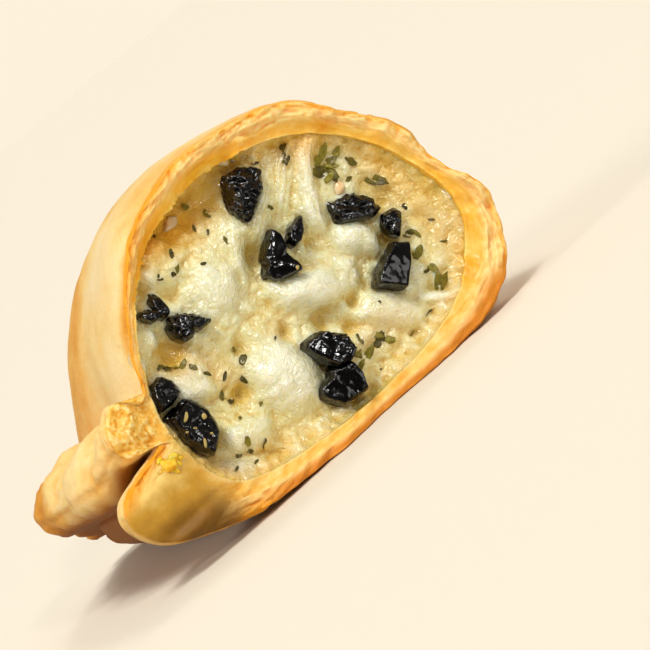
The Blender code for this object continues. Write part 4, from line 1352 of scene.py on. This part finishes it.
# The lip is darker towards the bottom.
lip_tone = baked.ramp(
    baked.along(2) / LIP_HEIGHT + (patches - 0.5) * 0.45 + (crust_grain - 0.5) * 0.12,
    (0.10, (0.11, 0.048, 0.004)), (0.42, (0.28, 0.13, 0.012)), (0.68, (0.56, 0.30, 0.030)),
    (0.92, (0.93, 0.70, 0.24)),
)
sagging = inward.step(0.42, 0.85) * (fold_mark * 0.75 + baked.mark("flap") * 1.2)
soft_part = (sagging + baked.mark("hollow") * 0.9).clamped()
torn_color = baked.mix(soft_part, torn_color, soaked)
bottom_part = (baked.mark("floor") * (1.0 - inward.step(0.25, 0.60))).clamped()
torn_color = baked.mix(bottom_part, torn_color, (0.70, 0.25, 0.02))
torn_color = baked.mix(baked.mark("crumb"), torn_color, crumb_tone)
color = baked.mix(torn_mark, skin, torn_color)
color = baked.mix(baked.mark("lobe"), color, lip_tone)

# %% Gloss and grain of the dough
wet = (soft_part + baked.mark("lobe") * 0.8).clamped()
rough = 0.48 + (crust_grain - 0.5) * 0.3 + torn_mark * 0.04 - soft_part * 0.22
height = crust_grain * 0.55 + speckle * 0.35 + baked.cells(0.9) * 0.25
dry_bumps = baked.relief(height * (1.0 - wet * 0.55) + fibre * torn_mark * 0.4, 0.26, 0.75)
baked.feed(Base_Color=color, Roughness=rough.clamped(), Normal=dry_bumps, Coat_Weight=(soft_part * 0.4))
baked.on(dough)

# %% [markdown]
# ## Melted cheese
# Cheese lets light in, so it needs subsurface scattering, and its wet skin gives small sharp
# highlights. Painted light and shade make it whitest on the crowns and yellow green to amber in the
# creases and further in. It is greyer beside an olive, and amber where it meets the fat-soaked wall.

# %% Melted cheese
milk = Finish(
    "melted_cheese_finish",
    Subsurface_Weight=0.8, Subsurface_Radius=(1.0, 0.85, 0.5), Subsurface_Scale=0.0016, IOR=1.42,
    Specular_IOR_Level=0.85, Coat_Weight=0.2, Coat_Roughness=0.1,
)
cloud = milk.grain(4.5, 3.0, 0.55)
fine = milk.grain(0.8, 3.0, 0.6)
depth_shade_mark = milk.mark("low")
crest = milk.mark("crest")
# Painted light and shade: yellow green to amber deeper in and in creases, whiter on the crests
tone = depth_shade_mark * 0.9 + (cloud - 0.5) * 0.55 + (fine - 0.5) * 0.14 - (crest - 0.5) * 0.8
cheese_color = milk.ramp(
    tone,
    (0.0, (0.86, 0.85, 0.66)), (0.22, (0.80, 0.77, 0.48)), (0.42, (0.81, 0.74, 0.38)),
    (0.80, (0.75, 0.54, 0.13)),
)
cheese_color = milk.mix((milk.mark("soaked") * 0.85).clamped(), cheese_color, (0.80, 0.44, 0.035))
cheese_color = milk.mix((milk.mark("white") * 0.40).clamped(), cheese_color, (0.85, 0.86, 0.72))
# Greyer beside an olive.
grey_by_olive = milk.mark("by_olive") * (0.24 + (cloud - 0.5) * 0.4)
cheese_color = milk.mix(grey_by_olive.clamped(), cheese_color, (0.44, 0.47, 0.40))
wall_mark = milk.mark("by_wall")
# Amber by the fat-soaked wall; the part that grows deeper in is painted shade.
wall_part = (wall_mark * wall_mark * (0.85 + (cloud - 0.5) * 1.2) + wall_mark * depth_shade_mark * 0.4).clamped()
cheese_color = milk.mix(wall_part, cheese_color, (0.88, 0.50, 0.045))
worms = milk.grain(0.95, 0.0, 0.5, 1.6)
small_worms = milk.grain(0.48, 0.0, 0.5, 1.2)
cheese_height = worms + small_worms * 0.30 + milk.grain(1.6, 1.0, 0.5, 1.2, (0.9, 0.5, 0.35)) * 0.5
cheese_bumps = milk.relief(cheese_height, 0.30)
cheese_rough = 0.16 + (cloud - 0.5) * 0.22 + depth_shade_mark * 0.06
milk.feed(Base_Color=cheese_color, Roughness=cheese_rough.clamped(), Normal=cheese_bumps)
milk.on(cheese)

# %% [markdown]
# ## Olive, herb and onion
# Olive skin is nearly black, painted lighter grey on the crests of its folds as a sheen, and the cut faces
# are wet and smooth.
# Dried leaves are matt, brown to yellow green. Cooked onion is clear and pinkish.

# %% Black olive
pitch = Finish("black_olive_finish", IOR=1.46, Specular_IOR_Level=0.7)
skin_mark = pitch.mark("skin")
olive_crest_sheen = pitch.mark("crest")
blotch = pitch.grain(1.6, 3.0, 0.6)
# Painted sheen: lighter grey on the crests of the folds, near black in the valleys
olive_color = pitch.ramp(
    (olive_crest_sheen * 0.5 + (blotch - 0.5) * 0.5 + skin_mark * 0.10).clamped(),
    (0.35, (0.0015, 0.001, 0.001)), (0.58, (0.004, 0.003, 0.003)), (0.76, (0.024, 0.017, 0.013)),
    (1.0, (0.12, 0.085, 0.060)),
)
olive_rough = 0.06 + blotch * 0.12 + skin_mark * 0.06
pitch_folds = pitch.grain(1.15, 1.0, 0.5, 1.4)
cut_waves = pitch.grain(3.0, 0.0, 0.5, 0.8)
olive_bumps = pitch.relief(pitch_folds * (0.05 + skin_mark * 0.6) + cut_waves * 0.7, 0.28)
pitch.feed(Base_Color=olive_color, Roughness=olive_rough.clamped(), Normal=olive_bumps)
pitch.on(*olives)

# %% Dried herbs
leaf = Finish("dried_herb_finish", Roughness=0.42)
leaf_tone = leaf.mark("tone") + (leaf.grain(0.6, 3.0, 0.6) - 0.5) * 0.7
leaf_color = leaf.ramp(
    leaf_tone,
    (0.0, (0.030, 0.022, 0.004)), (0.40, (0.085, 0.066, 0.007)), (0.75, (0.24, 0.20, 0.014)),
    (1.0, (0.46, 0.40, 0.035)),
)
leaf.feed(Base_Color=leaf_color, Normal=leaf.relief(leaf.grain(0.25, 2.0), 0.08, 0.7))
leaf.on(herbs)

# %% Onion, seeds and set fat
clear = Finish(
    "cooked_onion_finish", Subsurface_Weight=0.8, Subsurface_Radius=(1.0, 0.7, 0.5), Subsurface_Scale=0.0015,
    Roughness=0.16, Coat_Weight=0.5, Coat_Roughness=0.06,
)
clear.feed(Base_Color=clear.ramp(
    clear.grain(1.2, 3.0), (0.3, (0.80, 0.50, 0.25)), (0.7, (0.90, 0.72, 0.48)),
))
clear.on(onion)
pale_seed = Finish("seed_finish", Roughness=0.35, Subsurface_Weight=0.3, Subsurface_Scale=0.0005)
pale_seed.feed(Base_Color=pale_seed.ramp(
    pale_seed.grain(0.8, 3.0), (0.3, (0.20, 0.12, 0.015)), (0.7, (0.56, 0.44, 0.15)),
))
pale_seed.on(seeds)
fat = Finish(
    "set_fat_finish", Subsurface_Weight=0.6, Subsurface_Radius=(1.0, 0.5, 0.15), Subsurface_Scale=0.0012,
    Roughness=0.2, Coat_Weight=0.5, Coat_Roughness=0.08,
)
fat_color = fat.ramp(
    fat.grain(1.4, 3.0, 0.6),
    (0.38, (0.92, 0.36, 0.006)), (0.52, (0.95, 0.55, 0.03)), (0.66, (0.96, 0.67, 0.10)),
)
fat.feed(Base_Color=fat_color, Normal=fat.relief(fat.grain(0.5, 3.0), 0.12, 0.6))
fat.on(set_fat)

# %% [markdown]
# ## Floor, light and camera
# The part stands on a wide cream floor under a cream sky of the same tone. A few suns do the work
# of studio lamps: being far away, they light the floor evenly. The wide ones give the form, and the
# two narrow ones put sparkles on what is wet. The floor is kept out of reflections, so that the
# olives stay black.

# %% Floor
FLOOR_RADIUS = 6.0
FLOOR_SIDES = 64
floor_mesh = bpy.data.meshes.new("floor")
angles = np.linspace(0, math.tau, FLOOR_SIDES + 1)[:-1]
ring = [(FLOOR_RADIUS * math.cos(angle), FLOOR_RADIUS * math.sin(angle), 0.0) for angle in angles]
floor_mesh.from_pydata(ring, [], [list(range(FLOOR_SIDES))])
floor = add_object("floor", floor_mesh)
floor.visible_glossy = False
paper = Finish("cream_floor", Roughness=0.9)
paper.shader.inputs["Base Color"].default_value = (0.79, 0.72, 0.60, 1.0)
paper.on(floor)

# %% Camera
TARGET = Vector((4.753, -36.0, 15.38)) * MM
AZIMUTH, ELEVATION, ROLL, DISTANCE = -20.0, 6.0, 39.0, 520.0 * MM
FOCAL_PIXELS, PICTURE = 3588.0, 650.0
SENSOR_WIDTH = 36.0
turned, raised, rolled = (math.radians(value) for value in (AZIMUTH, ELEVATION, ROLL))
toward = Vector((math.sin(turned) * math.cos(raised), -math.cos(turned) * math.cos(raised), math.sin(raised)))
level = (-toward).cross(Vector((0, 0, 1))).normalized()
plumb = level.cross(-toward)
right = math.cos(rolled) * level - math.sin(rolled) * plumb
up = math.sin(rolled) * level + math.cos(rolled) * plumb
view = Matrix((right, up, toward)).transposed().to_4x4()
view.translation = TARGET + toward * DISTANCE
lens = bpy.data.cameras.new("camera")
lens.sensor_width = SENSOR_WIDTH
lens.lens = SENSOR_WIDTH * FOCAL_PIXELS / PICTURE
lens.clip_start = 0.01
lens.clip_end = 50.0
camera = add_object("camera", lens)
camera.matrix_world = view
bpy.context.scene.camera = camera
print("lens %.1f mm" % lens.lens)

# %% Light
def sun(name, way, strength, spread, color):
    lamp = bpy.data.lights.new(name, "SUN")
    lamp.energy = strength
    lamp.angle = math.radians(spread)
    lamp.color = color
    placed = add_object(name, lamp)
    placed.rotation_mode = "QUATERNION"
    placed.rotation_quaternion = way.normalized().to_track_quat("Z", "Y")


# Name, way to the lamp along right, up and towards the viewer, strength, width in degrees, colour
SUNS = [
    ("key", (-0.62, 0.80, 0.80), 1.60, 24, (1.0, 0.985, 0.955)),
    ("glint", (-0.62, 0.80, 0.80), 0.60, 8, (1.0, 0.985, 0.955)),
    ("low", (-0.95, -0.10, 0.45), 0.62, 24, (1.0, 0.97, 0.92)),
    ("fill", (0.85, 0.15, 0.75), 0.45, 30, (1.0, 0.985, 0.96)),
    ("back", (-0.25, 0.95, -0.35), 0.50, 14, (1.0, 0.98, 0.94)),
    ("sparkle", (0.08, 0.48, 1.0), 0.65, 4, (1.0, 0.99, 0.97)),
]
for name, (sideways, upward, forward), strength, spread, color in SUNS:
    sun(name, sideways * right + upward * up + forward * toward, strength, spread, color)
print("suns:", len(SUNS))

# %% Sky
# The sky seen in the picture has the floor's own cream. The light from it is softer, dim behind
# the viewer, where a studio is dark, and dimmer still in what is mirrored.
world = bpy.data.worlds.new("sky")
world.use_nodes = True
sky = Board(world.node_tree)
way = sky.node("ShaderNodeTexCoord", {}, {}, "Generated")
behind_viewer = sky.node("ShaderNodeVectorMath", {"operation": "DOT_PRODUCT"}, {0: way, 1: tuple(toward)}, 1)
glow = 0.54 - behind_viewer.step(-0.1, 0.85) * 0.42
mirrored = sky.node("ShaderNodeLightPath", {}, {}, "Is Glossy Ray")
dimmed = glow * (1.0 - mirrored * 0.6)
soft = sky.node("ShaderNodeBackground", {}, {"Color": (0.95, 0.90, 0.83), "Strength": dimmed})
cream = sky.node("ShaderNodeBackground", {}, {"Color": (0.991, 0.880, 0.716)})
seen = sky.node("ShaderNodeLightPath", {}, {}, "Is Camera Ray")
both = sky.node("ShaderNodeMixShader", {}, {0: seen, 1: soft, 2: cream})
sky.tree.links.new(both.socket, sky.tree.nodes["World Output"].inputs["Surface"])
bpy.context.scene.world = world
bpy.context.scene.view_settings.view_transform = "Standard"
